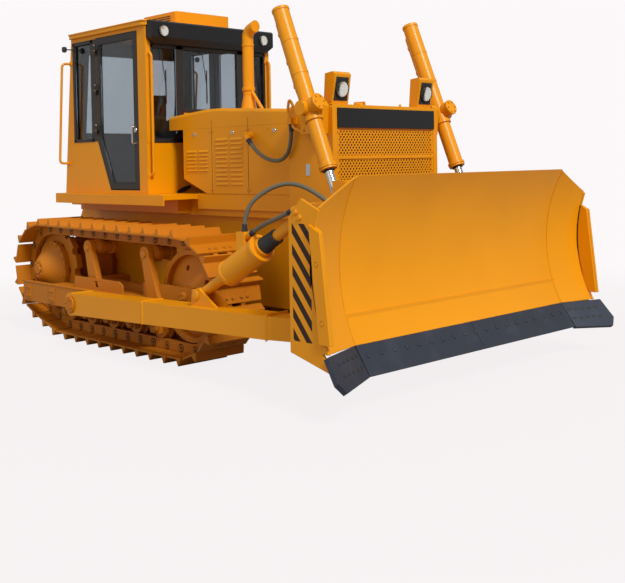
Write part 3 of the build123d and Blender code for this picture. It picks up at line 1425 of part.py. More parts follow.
for side, sign in SIDES:
    offset_y = Vector(0, sign * CYL_Y, 0)
    centre = pin + offset_y
    with BuildPart() as barrel:
        bar(tuple(centre - down * BARREL_ABOVE), tuple(centre + down * BARREL_BELOW), BARREL_LOWER_R)
        bar(tuple(centre - down * BARREL_ABOVE), tuple(centre + down * 105), BARREL_R)
        bar(tuple(centre + down * (BARREL_BELOW - CYL_CAP)), tuple(centre + down * BARREL_BELOW), BARREL_R)
        cross_bar(pin.X, pin.Z, TRUNNION_PIN_R, sign * (YOKE_ARM_IN + 6), sign * CYL_Y)
        # Round cap on the trunnion block, which faces forward
        cap = centre + Vector(0, sign * 18, 0)
        bar(tuple(cap), tuple(cap + forward * CAP_OUT), CAP_R)
        cross_bar(pin.X, pin.Z, CAP_R - 6, sign * (CYL_Y + 30), sign * (CYL_Y + BARREL_R + 46))
        bar(tuple(centre + down * COLLAR[0]), tuple(centre + down * COLLAR[1]), BARREL_R + 7)
        bar(
            tuple(centre - down * (BARREL_ABOVE - 60)),
            tuple(centre + down * (BARREL_BELOW + 1)),
            ROD_R + SEAT,
            mode=Mode.SUBTRACT,
        )
    save(barrel, f"lift_barrel_{side}")
    eye = centre + reach
    rod_top = centre - down * ROD_ABOVE
    with BuildPart() as rod:
        bar(tuple(rod_top), tuple(eye - down * 20), ROD_R)
        cross_bar(eye.X, eye.Z, EYE_R - 4, eye.Y - EYE_THICK / 2, eye.Y + EYE_THICK / 2)
        cross_bar(eye.X, eye.Z, EYE_BORE_R, eye.Y - EYE_THICK, eye.Y + EYE_THICK, mode=Mode.SUBTRACT)
    save(rod, f"lift_rod_{side}")

# ---------------------------------------------------------------- hoses
HOSE_BEND = 0.45              # share of the shorter run that a corner's curve may take


def hose(name, corners, sign):
    """Lead one hose through its corners as a plain round tube and write it."""
    points = [Vector(x, sign * y, z) for x, y, z in corners]
    radii = []
    for before, corner, after in zip(points, points[1:], points[2:]):
        arriving = corner - before
        leaving = after - corner
        half_turn = arriving.get_angle(leaving) / 2
        shorter = min(arriving.length, leaving.length)
        radii.append(HOSE_BEND * shorter / tan(radians(half_turn)))
    print(name, "bend radii", [round(radius) for radius in radii])
    with BuildPart() as tube:
        with BuildLine() as route:
            FilletPolyline(*points, radius=tuple(radii))
        with BuildSketch(Plane(origin=points[0], z_dir=points[1] - points[0])):
            Circle(HOSE_R)
        sweep()
    length = route.wires()[0].length
    print(name, "length", round(length))
    print(name, "volume over section times length", round(tube.part.volume / (length * pi * HOSE_R**2), 3))
    save(tube, name)


for side, sign in SIDES:
    hose(f"hose_lift_{side}", LIFT_HOSE, sign)
hose("hose_tilt_arch", ARCH_HOSE, -1)
hose("hose_tilt_link", LINK_HOSE, -1)
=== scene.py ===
"""Crawler bulldozer: finishes, small parts, hoses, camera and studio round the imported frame.

Metres and radians. +X is forward, +Y is the machine's left, +Z is up, the ground is Z = 0.
"""

import logging
import math
from dataclasses import dataclass, field
from enum import Enum
from typing import Sequence

import bmesh
import bpy
from mathutils import Matrix, Vector


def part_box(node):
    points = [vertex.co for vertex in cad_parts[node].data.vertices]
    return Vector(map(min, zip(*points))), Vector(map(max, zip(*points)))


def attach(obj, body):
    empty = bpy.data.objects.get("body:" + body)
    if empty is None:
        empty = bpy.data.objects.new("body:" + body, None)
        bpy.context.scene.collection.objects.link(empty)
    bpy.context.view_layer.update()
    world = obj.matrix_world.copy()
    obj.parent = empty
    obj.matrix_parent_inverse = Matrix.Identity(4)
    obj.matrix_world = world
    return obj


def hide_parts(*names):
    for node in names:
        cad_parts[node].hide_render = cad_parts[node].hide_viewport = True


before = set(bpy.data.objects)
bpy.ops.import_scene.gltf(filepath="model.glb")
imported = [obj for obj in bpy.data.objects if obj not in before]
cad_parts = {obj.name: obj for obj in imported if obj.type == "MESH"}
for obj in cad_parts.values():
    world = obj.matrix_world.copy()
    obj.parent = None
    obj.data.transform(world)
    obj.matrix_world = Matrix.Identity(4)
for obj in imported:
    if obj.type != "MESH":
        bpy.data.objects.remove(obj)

LOG = logging.getLogger("bulldozer")

Colour = tuple[float, float, float, float]
Spot = Sequence[float]


class Side(Enum):
    """A side of the machine: its name and the sign of Y there."""

    RIGHT = ("right", -1)
    LEFT = ("left", 1)

    @property
    def label(self) -> str:
        """Name of the side."""
        return self.value[0]

    def span(self, first: float, second: float) -> tuple[float, float]:
        """Order two distances from the centre plane as Y on this side."""
        return min(self.sign * first, self.sign * second), max(self.sign * first, self.sign * second)

    @property
    def sign(self) -> int:
        """Sign of Y on the side."""
        return self.value[1]


class Slot(Enum):
    """Material slots of the record."""

    PAINT = "yellow_paint"
    TRACK = "track_paint"
    EDGE = "edge_steel"
    CHROME = "chrome"
    GLASS = "glass"
    BLACK = "black_paint"
    CLOTH = "seat_cloth"
    PLASTIC = "grey_plastic"
    ENGINE = "engine_grey"
    RUBBER = "hose_rubber"


def display(red: int, green: int, blue: int) -> Colour:
    """Give the linear colour of a display colour.

    Args:
        red: Red from 0 to 255.
        green: Green from 0 to 255.
        blue: Blue from 0 to 255.

    Returns:
        The linear colour with full alpha.
    """
    shares = (value / 255 for value in (red, green, blue))
    linear = (s / 12.92 if s <= 0.04045 else ((s + 0.055) / 1.055) ** 2.4 for s in shares)
    return (*linear, 1.0)


# ------------------------------------------------------------------ shader maths


class Value:
    """A number in a material's maths; its operators add Math nodes."""

    def __init__(self, graph: "Graph", source: bpy.types.NodeSocket) -> None:
        """Wrap a socket of a graph.

        Args:
            graph: The graph that the socket belongs to.
            source: The output socket.
        """
        self.graph = graph
        self.source = source

    def _math(self, operation: str, first: object, second: object) -> "Value":
        """Add a Math node on two values."""
        node = self.graph.node("ShaderNodeMath", {"operation": operation}, {0: first, 1: second})
        return Value(self.graph, node.outputs[0])

    def __add__(self, other: object) -> "Value":
        """Add."""
        return self._math("ADD", self, other)

    __radd__ = __add__

    def __mul__(self, other: object) -> "Value":
        """Multiply."""
        return self._math("MULTIPLY", self, other)

    __rmul__ = __mul__

    def __sub__(self, other: object) -> "Value":
        """Subtract another value."""
        return self._math("SUBTRACT", self, other)

    def __rsub__(self, other: object) -> "Value":
        """Subtract this value from another."""
        return self._math("SUBTRACT", other, self)

    def __gt__(self, other: object) -> "Value":
        """Give 1 where this value is more, and 0 elsewhere."""
        return self._math("GREATER_THAN", self, other)

    def __lt__(self, other: object) -> "Value":
        """Give 1 where this value is less, and 0 elsewhere."""
        return self._math("LESS_THAN", self, other)

    def __abs__(self) -> "Value":
        """Drop the sign."""
        return self._math("ABSOLUTE", self, 0.0)

    def sine(self) -> "Value":
        """Take the sine."""
        return self._math("SINE", self, 0.0)

    def ramp(self, low: float, high: float) -> "Value":
        """Rise smoothly from 0 at low to 1 at high."""
        settings = {"interpolation_type": "SMOOTHSTEP"}
        node = self.graph.node(
            "ShaderNodeMapRange", settings, {"Value": self, "From Min": low, "From Max": high}
        )
        return Value(self.graph, node.outputs[0])


class Graph:
    """The node tree of one material."""

    def __init__(self, name: str) -> None:
        """Start a material with an empty tree.

        Args:
            name: The material's name.
        """
        self.material = bpy.data.materials.new(name)
        self.material.use_nodes = True
        self.tree = self.material.node_tree
        self.tree.nodes.clear()

    def node(
        self, kind: str, settings: dict | None = None, inputs: dict | None = None
    ) -> bpy.types.Node:
        """Add one node.

        Args:
            kind: The node's type.
            settings: Its own settings, set first; "stops" are a colour ramp's stops.
            inputs: Values or links of its sockets, by name or number.

        Returns:
            The node.
        """
        node = self.tree.nodes.new(kind)
        for key, value in (settings or {}).items():
            if key == "stops":
                elements = node.color_ramp.elements
                for element, (place, colour) in zip(elements, value):
                    element.position, element.color = place, colour
            else:
                setattr(node, key, value)
        for key, value in (inputs or {}).items():
            if isinstance(value, Value):
                value = value.source
            if isinstance(value, bpy.types.NodeSocket):
                self.tree.links.new(value, node.inputs[key])
            else:
                node.inputs[key].default_value = value
        return node

    def place(self) -> bpy.types.NodeSocket:
        """Give the place on the piece, in the row frame."""
        return self.node("ShaderNodeTexCoord").outputs["Object"]

    def axes(self) -> tuple[Value, Value, Value]:
        """Give the place's three coordinates."""
        node = self.node("ShaderNodeSeparateXYZ", inputs={0: self.place()})
        return tuple(Value(self, socket) for socket in node.outputs)

    def noise(self, scale: float, detail: float = 3.0, stretch: Spot = (1, 1, 1)) -> Value:
        """Give cloudy noise from 0 to 1.

        Args:
            scale: Clouds per metre.
            detail: Octaves.
            stretch: Factor on each axis.

        Returns:
            The noise.
        """
        spot = self.node("ShaderNodeMapping", inputs={"Vector": self.place(), "Scale": stretch})
        inputs = {"Vector": spot.outputs[0], "Scale": scale, "Detail": detail}
        return Value(self, self.node("ShaderNodeTexNoise", inputs=inputs).outputs["Fac"])

    def mix(self, share: object, first: object, second: object) -> bpy.types.NodeSocket:
        """Mix two colours.

        Args:
            share: Share of the second colour.
            first: Colour where the share is 0.
            second: Colour where it is 1.

        Returns:
            The mixed colour.
        """
        node = self.node("ShaderNodeMix", {"data_type": "RGBA"}, {0: share, 6: first, 7: second})
        return node.outputs[2]

    def bump(self, height: Value, strength: float, depth: float) -> bpy.types.NodeSocket:
        """Turn a height into a normal over rounded edges."""
        inputs = {"Height": height, "Strength": strength, "Distance": depth}
        return self.node("ShaderNodeBump", inputs=inputs).outputs[0]

    def surface(self, inputs: dict, rounding: float = 0.0) -> bpy.types.Material:
        """Close the tree with a Principled shader.

        Args:
            inputs: Values or links of the shader's sockets.
            rounding: Radius to which hard edges look rounded.

        Returns:
            The material.
        """
        if rounding:
            edge = self.node("ShaderNodeBevel", {"samples": 4}, {"Radius": rounding})
            bump = inputs["Normal"].node
            self.tree.links.new(edge.outputs[0], bump.inputs["Normal"])
        shader = self.node("ShaderNodeBsdfPrincipled", inputs=inputs)
        self.node("ShaderNodeOutputMaterial", inputs={"Surface": shader.outputs[0]})
        return self.material


# ------------------------------------------------------------------ finishes


@dataclass(frozen=True)
class Paint:
    """Sprayed machine paint with slow drift in tone, fine ripple and a little dust."""

    name: str
    colour: Colour
    drift: float = 0.10
    gloss: float = 0.36
    dust: float = 0.10
    coat: float = 0.05
    rounding: float = 0.006

    def blend(self, graph: Graph, base: bpy.types.NodeSocket) -> bpy.types.NodeSocket:
        """Give the colour over the base coat; plain paint has none."""
        return base

    def make(self) -> bpy.types.Material:
        """Build the material."""
        graph = Graph(self.name)
        broad = graph.noise(1.3, 2.0)
        ripple = graph.noise(38.0, 2.0)
        specks = graph.noise(210.0, 4.0)
        dark = tuple(part * (1 - 2 * self.drift) for part in self.colour[:3]) + (1.0,)
        toned = graph.mix(broad, dark, self.colour)
        height = graph.axes()[2]
        grime = (specks * 0.5 + broad * 0.7) * height.ramp(1.4, 0.0) * self.dust
        dusty = graph.mix(grime, toned, display(138, 84, 26))
        inputs = {
            "Base Color": self.blend(graph, dusty),
            "Roughness": self.gloss + (broad - 0.5) * 0.10 + grime * 0.6,
            "Normal": graph.bump(ripple + specks * 0.25, 0.10, 0.0012),
            "Coat Weight": self.coat,
            "Coat Roughness": 0.14,
            "Specular IOR Level": 0.28,
        }
        return graph.surface(inputs, self.rounding)


@dataclass(frozen=True)
class StripedPaint(Paint):
    """Machine paint with slanted dark stripes on the blade's outer faces."""

    stripe: Colour = display(46, 26, 14)
    face_y: float = 1.5945
    pitch: float = 0.137
    slope: float = 1.23
    start_z: float = 1.131
    rear_x: float = 2.186
    front_x: float = 2.362
    low_z: float = 0.50
    high_z: float = 1.262

    def blend(self, graph: Graph, base: bpy.types.NodeSocket) -> bpy.types.NodeSocket:
        """Lay the stripes over the base coat."""
        x, y, z = graph.axes()
        drop = z + (x - self.rear_x) * self.slope - self.start_z
        wave = (drop * (2 * math.pi / self.pitch)).sine()
        inside = (x > self.rear_x) * (x < self.front_x) * (z > self.low_z) * (z < self.high_z)
        mask = (abs(y) > self.face_y) * inside * (wave < 0.0)
        return graph.mix(mask, base, self.stripe)


@dataclass(frozen=True)
class CabPaint(Paint):
    """Machine paint outside and dark lining inside the cab's walls."""

    lining: Colour = display(52, 50, 47)
    inner_y: float = 0.7502
    inner_front_x: float = -0.6925
    inner_rear_x: float = -2.342
    slant: float = 0.1124

    def blend(self, graph: Graph, base: bpy.types.NodeSocket) -> bpy.types.NodeSocket:
        """Line the inside faces."""
        x, y, z = graph.axes()
        inside = (abs(y) < self.inner_y) * (x < self.inner_front_x)
        inside = inside * ((x - z * self.slant) > self.inner_rear_x)
        return graph.mix(inside * (z > 1.39), base, self.lining)


@dataclass(frozen=True)
class Steel:
    """Bare or plated metal with fine brushing and rubbed patches."""

    name: str
    colour: Colour
    metal: float = 1.0
    gloss: float = 0.35
    scuff: float = 0.25
    brush: Spot = (1, 8, 1)

    def make(self) -> bpy.types.Material:
        """Build the material."""
        graph = Graph(self.name)
        grain = graph.noise(90.0, 3.0, self.brush)
        patch = graph.noise(5.0, 4.0)
        worn = tuple(min(1.0, part * 1.7 + 0.02) for part in self.colour[:3]) + (1.0,)
        mask = patch.ramp(0.45, 0.75) * self.scuff
        inputs = {
            "Base Color": graph.mix(mask, self.colour, worn),
            "Metallic": self.metal,
            "Roughness": self.gloss + (grain - 0.5) * 0.25 + mask * 0.15,
            "Normal": graph.bump(grain + patch, 0.18, 0.0015),
        }
        return graph.surface(inputs, 0.004)


@dataclass(frozen=True)
class Moulded:
    """Plastic, rubber or dull paint with a fine grain."""

    name: str
    colour: Colour
    gloss: float = 0.5
    grain: float = 340.0
    relief: float = 0.25
    drift: float = 0.25

    def make(self) -> bpy.types.Material:
        """Build the material."""
        graph = Graph(self.name)
        grain = graph.noise(self.grain, 3.0)
        patch = graph.noise(4.0, 3.0)
        pale = tuple(part * (1 + self.drift) + 0.01 for part in self.colour[:3]) + (1.0,)
        inputs = {
            "Base Color": graph.mix(patch, self.colour, pale),
            "Roughness": self.gloss + (patch - 0.5) * 0.2,
            "Normal": graph.bump(grain, self.relief, 0.0008),
        }
        return graph.surface(inputs, 0.003)


@dataclass(frozen=True)
class Woven:
    """Coarse seat cloth."""

    name: str
    colour: Colour
    threads: float = 420.0

    def make(self) -> bpy.types.Material:
        """Build the material."""
        graph = Graph(self.name)
        x, y, z = graph.axes()
        weave = (x * self.threads).sine() * (y * self.threads).sine()
        weave = weave + (z * self.threads).sine() * 0.5
        patch = graph.noise(7.0, 3.0)
        pale = tuple(part * 1.8 + 0.01 for part in self.colour[:3]) + (1.0,)
        inputs = {
            "Base Color": graph.mix(patch * 0.5 + weave.ramp(-1, 1) * 0.4, self.colour, pale),
            "Roughness": 0.85 + (patch - 0.5) * 0.1,
            "Normal": graph.bump(weave, 0.4, 0.001),
        }
        return graph.surface(inputs, 0.002)


@dataclass(frozen=True)
class Pane:
    """Lightly tinted safety glass with a trace of dust."""

    name: str
    tint: Colour

    def make(self) -> bpy.types.Material:
        """Build the material."""
        graph = Graph(self.name)
        haze = graph.noise(3.0, 4.0)
        dusty = tuple(part * 0.9 for part in self.tint[:3]) + (1.0,)
        inputs = {
            "Base Color": graph.mix(haze, dusty, self.tint),
            "Roughness": haze.ramp(0.55, 0.95) * 0.10,
            "Normal": graph.bump(haze, 0.02, 0.001),
            "Transmission Weight": 1.0,
            "IOR": 1.45,
        }
        return graph.surface(inputs)


class Palette:
    """Every finish of the machine, made once."""

    def __init__(self) -> None:
        """Make the materials."""
        yellow = display(243, 157, 2)
        self.paint = Paint("machine_yellow", yellow).make()
        self.running = Paint("running_gear_yellow", display(206, 122, 8), dust=0.35, gloss=0.5).make()
        self.blade = StripedPaint("blade_yellow", yellow).make()
        self.cab = CabPaint("cab_yellow", yellow).make()
        self.black = Paint("black_enamel", display(30, 31, 34), dust=0.02, coat=0.15).make()
        self.edge = Steel("cutting_edge_steel", display(48, 55, 68), metal=0.35, gloss=0.55).make()
        self.chrome = Steel("chrome_plate", display(215, 218, 222), gloss=0.12, scuff=0.1).make()
        self.mirror = Steel("lamp_mirror", display(235, 235, 230), gloss=0.08, scuff=0.0).make()
        self.glass = Pane("tinted_glass", display(196, 204, 210)).make()
        self.lens = Pane("lamp_lens", display(248, 248, 244)).make()
        # Black rubber, also used for dark shapes that paint the shade in recesses, slots, holes and vents.
        self.rubber = Moulded("rubber_seal", display(26, 26, 27), gloss=0.6).make()
        self.hose = Moulded("wrapped_hose", display(92, 88, 72), gloss=0.55, grain=120, relief=0.5).make()
        self.frame = Moulded("door_frame_black", display(33, 28, 26), gloss=0.4).make()
        self.plastic = Moulded("console_plastic", display(48, 47, 45), gloss=0.55).make()
        self.engine = Moulded("engine_casting", display(70, 66, 60), gloss=0.6, grain=160).make()
        # Dark red-brown plate behind the grille: painted shade, tinted by orange bounce light, for the
        # radiator seen through the holes.
        self.core = Moulded("radiator_core", display(52, 22, 10), gloss=0.8, grain=500).make()
        self.cloth = Woven("seat_cloth", display(38, 37, 38)).make()


def dress(node: str, material: bpy.types.Material) -> None:
    """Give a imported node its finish.

    Args:
        node: Name of the node.
        material: Its material.
    """
    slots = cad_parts[node].data.materials
    if not slots:
        slots.append(material)
    for number in range(len(slots)):
        slots[number] = material


# ------------------------------------------------------------------ studio


@dataclass
class Studio:
    """Camera, floor, lamps and world."""

    camera_at: Spot = (6.756, -5.769, 1.650)
    yaw: float = math.radians(43.70)
    pitch: float = math.radians(1.64)
    roll: float = math.radians(-1.02)
    focal_share: float = 958.4 / 625
    shift_y: float = -0.162
    white: Colour = display(252, 248, 249)
    floor_radius: float = 40.0

    def camera(self) -> None:
        """Set the camera."""
        ahead = Vector(
            (
                -math.cos(self.yaw) * math.cos(self.pitch),
                math.sin(self.yaw) * math.cos(self.pitch),
                -math.sin(self.pitch),
            )
        )
        level = ahead.cross(Vector((0, 0, 1))).normalized()
        upright = level.cross(ahead)
        right = level * math.cos(self.roll) + upright * math.sin(self.roll)
        up = upright * math.cos(self.roll) - level * math.sin(self.roll)
        data = bpy.data.cameras.new("camera")
        data.sensor_width = 36.0
        data.lens = self.focal_share * data.sensor_width
        data.shift_y = self.shift_y
        data.clip_end = 200.0
        item = bpy.data.objects.new("camera", data)
        turn = Matrix((right, up, -ahead)).transposed().to_4x4()
        item.matrix_world = Matrix.Translation(self.camera_at) @ turn
        bpy.context.scene.collection.objects.link(item)
        bpy.context.scene.camera = item

    def seen(self, graph: Graph) -> Value:
        """Give 1 for rays from the camera and through glass."""
        paths = graph.node("ShaderNodeLightPath").outputs
        seen = Value(graph, paths["Is Camera Ray"]) + Value(graph, paths["Is Transmission Ray"])
        return seen > 0.5

    def floor(self) -> None:
        """Lay the pale floor, which keeps a faint shadow and ends in the background's white."""
        mesh = bmesh.new()
        bmesh.ops.create_circle(mesh, cap_ends=True, segments=96, radius=self.floor_radius)
        data = bpy.data.meshes.new("studio_floor")
        mesh.to_mesh(data)
        mesh.free()
        floor = bpy.data.objects.new("studio_floor", data)
        bpy.context.scene.collection.objects.link(floor)
        graph = Graph("studio_floor")
        matt = graph.node("ShaderNodeBsdfDiffuse", inputs={"Color": (0.42, 0.41, 0.40, 1.0)})
        glow = graph.node("ShaderNodeEmission", inputs={"Color": self.white, "Strength": 1.0})
        x, y, _ = graph.axes()
        away = (x * x + y * y).ramp(9.0, 60.0)
        share = self.seen(graph) * (0.90 + away * 0.10)
        shaders = {0: share, 1: matt.outputs[0], 2: glow.outputs[0]}
        mix = graph.node("ShaderNodeMixShader", inputs=shaders)
        graph.node("ShaderNodeOutputMaterial", inputs={"Surface": mix.outputs[0]})
        data.materials.append(graph.material)

    def lamp(self, name: str, toward: Spot, power: float, spread: float) -> None:
        """Hang a distant soft lamp.

        Args:
            name: The lamp's name.
            toward: Direction from the machine to the lamp.
            power: Its strength.
            spread: Angle that it fills.
        """
        data = bpy.data.lights.new(name, "SUN")
        data.energy = power
        data.angle = spread
        item = bpy.data.objects.new(name, data)
        item.matrix_world = Vector(toward).to_track_quat("Z", "Y").to_matrix().to_4x4()
        bpy.context.scene.collection.objects.link(item)

    def world(self) -> None:
        """Light from all round, with a white background for the camera."""
        world = bpy.data.worlds.new("studio")
        bpy.context.scene.world = world
        world.use_nodes = True
        graph = Graph.__new__(Graph)
        graph.tree = world.node_tree
        graph.tree.nodes.clear()
        soft = graph.node("ShaderNodeBackground", inputs={0: (1.0, 0.97, 0.93, 1.0), 1: 0.42})
        white = graph.node("ShaderNodeBackground", inputs={0: self.white, 1: 1.0})
        shaders = {0: self.seen(graph), 1: soft.outputs[0], 2: white.outputs[0]}
        mix = graph.node("ShaderNodeMixShader", inputs=shaders)
        graph.node("ShaderNodeOutputWorld", inputs={"Surface": mix.outputs[0]})

    def build(self) -> None:
        """Set everything up."""
        bpy.context.scene.view_settings.view_transform = "Standard"
        self.camera()
        self.floor()
        self.lamp("key", (1.0, -0.26, 0.95), 2.55, math.radians(14))
        self.lamp("fill", (-0.2, -1.0, 0.8), 0.42, math.radians(60))
        self.world()


# ------------------------------------------------------------------ shapes


class Shell:
    """One piece, built up from turned, drawn and blocked shapes in the row frame."""

    def __init__(self) -> None:
        """Start an empty piece."""
        self.mesh = bmesh.new()

    def _ring(self, centre: Vector, across: Vector, up: Vector, radius: float, steps: int) -> list:
        """Add a ring of vertices, or one vertex for a radius of nothing."""
        if radius < 1e-6:
            return [self.mesh.verts.new(centre)]
        angles = (2 * math.pi * step / steps for step in range(steps))
        spots = (across * math.cos(angle) + up * math.sin(angle) for angle in angles)
        return [self.mesh.verts.new(centre + spot * radius) for spot in spots]

    def _skin(self, rings: Sequence[list]) -> None:
        """Join rings that follow each other."""
        for first, second in zip(rings, rings[1:]):
            for step in range(max(len(first), len(second))):
                corners = (
                    first[step % len(first)],
                    first[(step + 1) % len(first)],
                    second[(step + 1) % len(second)],
                    second[step % len(second)],
                )
                corners = tuple(dict.fromkeys(corners))
                if len(corners) > 2:
                    self.mesh.faces.new(corners)

    def lathe(
        self, start: Spot, toward: Spot, profile: Sequence[tuple[float, float]], steps: int = 28
    ) -> "Shell":
        """Turn a profile about an axis.

        Args:
            start: Where the axis starts.
            toward: Direction of the axis.
            profile: Stations along the axis, each with its radius.
            steps: Sides of the round.

        Returns:
            The same builder.
        """
        axis = Vector(toward).normalized()
        across = axis.orthogonal().normalized()
        up = axis.cross(across)
        base = Vector(start)
        rings = [self._ring(base + axis * along, across, up, r, steps) for along, r in profile]
        self._skin(rings)
        for ring in (rings[0], rings[-1]):
            if len(ring) > 2:
                self.mesh.faces.new(ring)
        return self

    def rod(self, start: Spot, end: Spot, radius: float, steps: int = 20) -> "Shell":
        """Lay a round bar between two points."""
        run = Vector(end) - Vector(start)
        return self.lathe(start, run, ((0, radius), (run.length, radius)), steps)

    def ring(self, start: Spot, toward: Spot, inner: float, outer: float, depth: float) -> "Shell":
        """Turn a ring with a square section."""
        profile = ((0, inner), (0, outer), (depth, outer), (depth, inner), (0, inner))
        axis = Vector(toward).normalized()
        across = axis.orthogonal().normalized()
        up = axis.cross(across)
        rings = [self._ring(Vector(start) + axis * a, across, up, r, 32) for a, r in profile[:-1]]
        self._skin([*rings, rings[0]])
        return self

    def tube(self, corners: Sequence[Spot], radius: float, bend: float, steps: int = 16) -> "Shell":
        """Lead a round tube through corners.

        Args:
            corners: The corners of its line.
            radius: Radius of the tube.
            bend: How far from each corner the line starts to turn.
            steps: Sides of the round.

        Returns:
            The same builder.
        """
        spots = [Vector(spot) for spot in corners]
        line = [spots[0]]
        for before, corner, after in zip(spots, spots[1:], spots[2:]):
            entry = corner + (before - corner).normalized() * bend
            leave = corner + (after - corner).normalized() * bend
            for step in range(7):
                share = step / 6
                line.append(entry.lerp(corner, share).lerp(corner.lerp(leave, share), share))
        line.append(spots[-1])
        rings = []
        across = (line[1] - line[0]).orthogonal().normalized()
        for number, spot in enumerate(line):
            ahead = line[min(number + 1, len(line) - 1)] - line[max(number - 1, 0)]
            axis = ahead.normalized()
            across = (across - axis * across.dot(axis)).normalized()
            rings.append(self._ring(spot, across, axis.cross(across), radius, steps))
        self._skin(rings)
        self.mesh.faces.new(rings[0])
        self.mesh.faces.new(rings[-1])
        return self

    def prism(self, outline: Sequence[Spot], depth: Spot) -> "Shell":
        """Draw a flat outline out along a vector."""
        first = [self.mesh.verts.new(Vector(spot)) for spot in outline]
        second = [self.mesh.verts.new(Vector(spot) + Vector(depth)) for spot in outline]
        self._skin([first, second])
        self.mesh.faces.new(first)
        self.mesh.faces.new(second)
        return self

    def block(self, low: Spot, high: Spot) -> "Shell":
        """Lay a block between two corners."""
        (x0, y0, z0), (x1, y1, z1) = low, high
        return self.prism(((x0, y0, z0), (x1, y0, z0), (x1, y1, z0), (x0, y1, z0)), (0, 0, z1 - z0))

    def data(self, name: str) -> bpy.types.Mesh:
        """Close the piece as a mesh."""
        bmesh.ops.recalc_face_normals(self.mesh, faces=self.mesh.faces)
        data = bpy.data.meshes.new(name)
        self.mesh.to_mesh(data)
        self.mesh.free()
        return data

    def piece(
        self,
        name: str,
        body: str,
        material: bpy.types.Material,
        kind: Slot,
        bevel: float = 0.0,
    ) -> bpy.types.Object:
        """Finish the piece and hang it on a body.

        Args:
            name: Its name.
            body: The body that it rides on.
            material: Its finish.
            kind: Its slot.
            bevel: Width of its edges' bevel.

        Returns:
            The object.
        """
        return placed(self.data(name), name, body, material, kind, bevel)


def placed(
    data: bpy.types.Mesh,
    name: str,
    body: str,
    material: bpy.types.Material,
    kind: Slot,
    bevel: float = 0.0,
) -> bpy.types.Object:
    """Link a mesh as a piece of a body.

    Args:
        data: The mesh, in the row frame.
        name: The piece's name.
        body: The body that it rides on.
        material: Its finish.
        kind: Its slot; not used.
        bevel: Width of its edges' bevel.

    Returns:
        The object.
    """
    item = bpy.data.objects.new(name, data)
    bpy.context.scene.collection.objects.link(item)
    if not data.materials:
        data.materials.append(material)
    data.polygons.foreach_set("use_smooth", [True] * len(data.polygons))
    data.set_sharp_from_angle(angle=math.radians(32))
    if bevel:
        edges = item.modifiers.new("edges", "BEVEL")
        edges.width = bevel
        edges.segments = 2
        edges.limit_method = "ANGLE"
    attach(item, body)
    return item


# ------------------------------------------------------------------ repeated shapes


class Tree:
    """A Geometry Nodes tree with named inputs."""

    def __init__(self, name: str, inputs: Sequence[tuple[str, str]]) -> None:
        """Start a tree.

        Args:
            name: The tree's name.
            inputs: Name and socket type of each input after the geometry.
        """
        self.group = bpy.data.node_groups.new(name, "GeometryNodeTree")
        face = self.group.interface
        face.new_socket("Geometry", in_out="INPUT", socket_type="NodeSocketGeometry")
        for label, kind in inputs:
            face.new_socket(label, in_out="INPUT", socket_type=kind)
        face.new_socket("Geometry", in_out="OUTPUT", socket_type="NodeSocketGeometry")
        self.given = self.group.nodes.new("NodeGroupInput").outputs

    def node(self, kind: str, settings: dict | None = None, inputs: dict | None = None) -> object:
        """Add one node, with its settings first and then its inputs."""
        node = self.group.nodes.new(kind)
        for key, value in (settings or {}).items():
            setattr(node, key, value)
        for key, value in (inputs or {}).items():
            if isinstance(value, bpy.types.NodeSocket):
                self.group.links.new(value, node.inputs[key])
            else:
                node.inputs[key].default_value = value
        return node

    def facing(self) -> bpy.types.NodeSocket:
        """Turn each place so that its Z follows "out" and its X follows "along"."""
        turn = None
        for axis, name in (("Z", "out"), ("X", "along")):
            vector = self.node(
                "GeometryNodeInputNamedAttribute", {"data_type": "FLOAT_VECTOR"}, {"Name": name}
            )
            inputs = {"Vector": vector.outputs["Attribute"]}
            if turn:
                inputs["Rotation"] = turn
            settings = {"axis": axis, "pivot_axis": "Z" if turn else "AUTO"}
            turn = self.node("FunctionNodeAlignRotationToVector", settings, inputs).outputs[0]
        return turn

    def spread(self, shape: bpy.types.NodeSocket, material: bpy.types.NodeSocket) -> None:
        """Put a shape on every place, make it real and give it its material."""
        inputs = {"Points": self.given["Geometry"], "Instance": shape, "Rotation": self.facing()}
        copies = self.node("GeometryNodeInstanceOnPoints", inputs=inputs)
        self.close(copies.outputs[0], material)

    def close(self, shape: bpy.types.NodeSocket, material: bpy.types.NodeSocket) -> None:
        """Make copies real, set their material and end the tree."""
        real = self.node("GeometryNodeRealizeInstances", inputs={"Geometry": shape})
        painted = self.node(
            "GeometryNodeSetMaterial", inputs={"Geometry": real.outputs[0], "Material": material}
        )
        self.node("NodeGroupOutput", inputs={0: painted.outputs[0]})

    def apply(self, base: bpy.types.Mesh, values: dict) -> bpy.types.Mesh:
        """Run the tree on a mesh.

        Args:
            base: The mesh that it starts from.
            values: Value of each named input.

        Returns:
            The plain mesh that it makes.
        """
        item = bpy.data.objects.new(self.group.name, base)
        bpy.context.scene.collection.objects.link(item)
        modifier = item.modifiers.new(self.group.name, "NODES")
        modifier.node_group = self.group
        for socket in self.group.interface.items_tree:
            if socket.in_out == "INPUT" and socket.name in values:
                modifier[socket.identifier] = values[socket.name]
        graph = bpy.context.evaluated_depsgraph_get()
        made = bpy.data.meshes.new_from_object(
            item.evaluated_get(graph), preserve_all_data_layers=True, depsgraph=graph
        )
        item.modifiers.clear()
        bpy.data.objects.remove(item)
        bpy.data.meshes.remove(base)
        return made


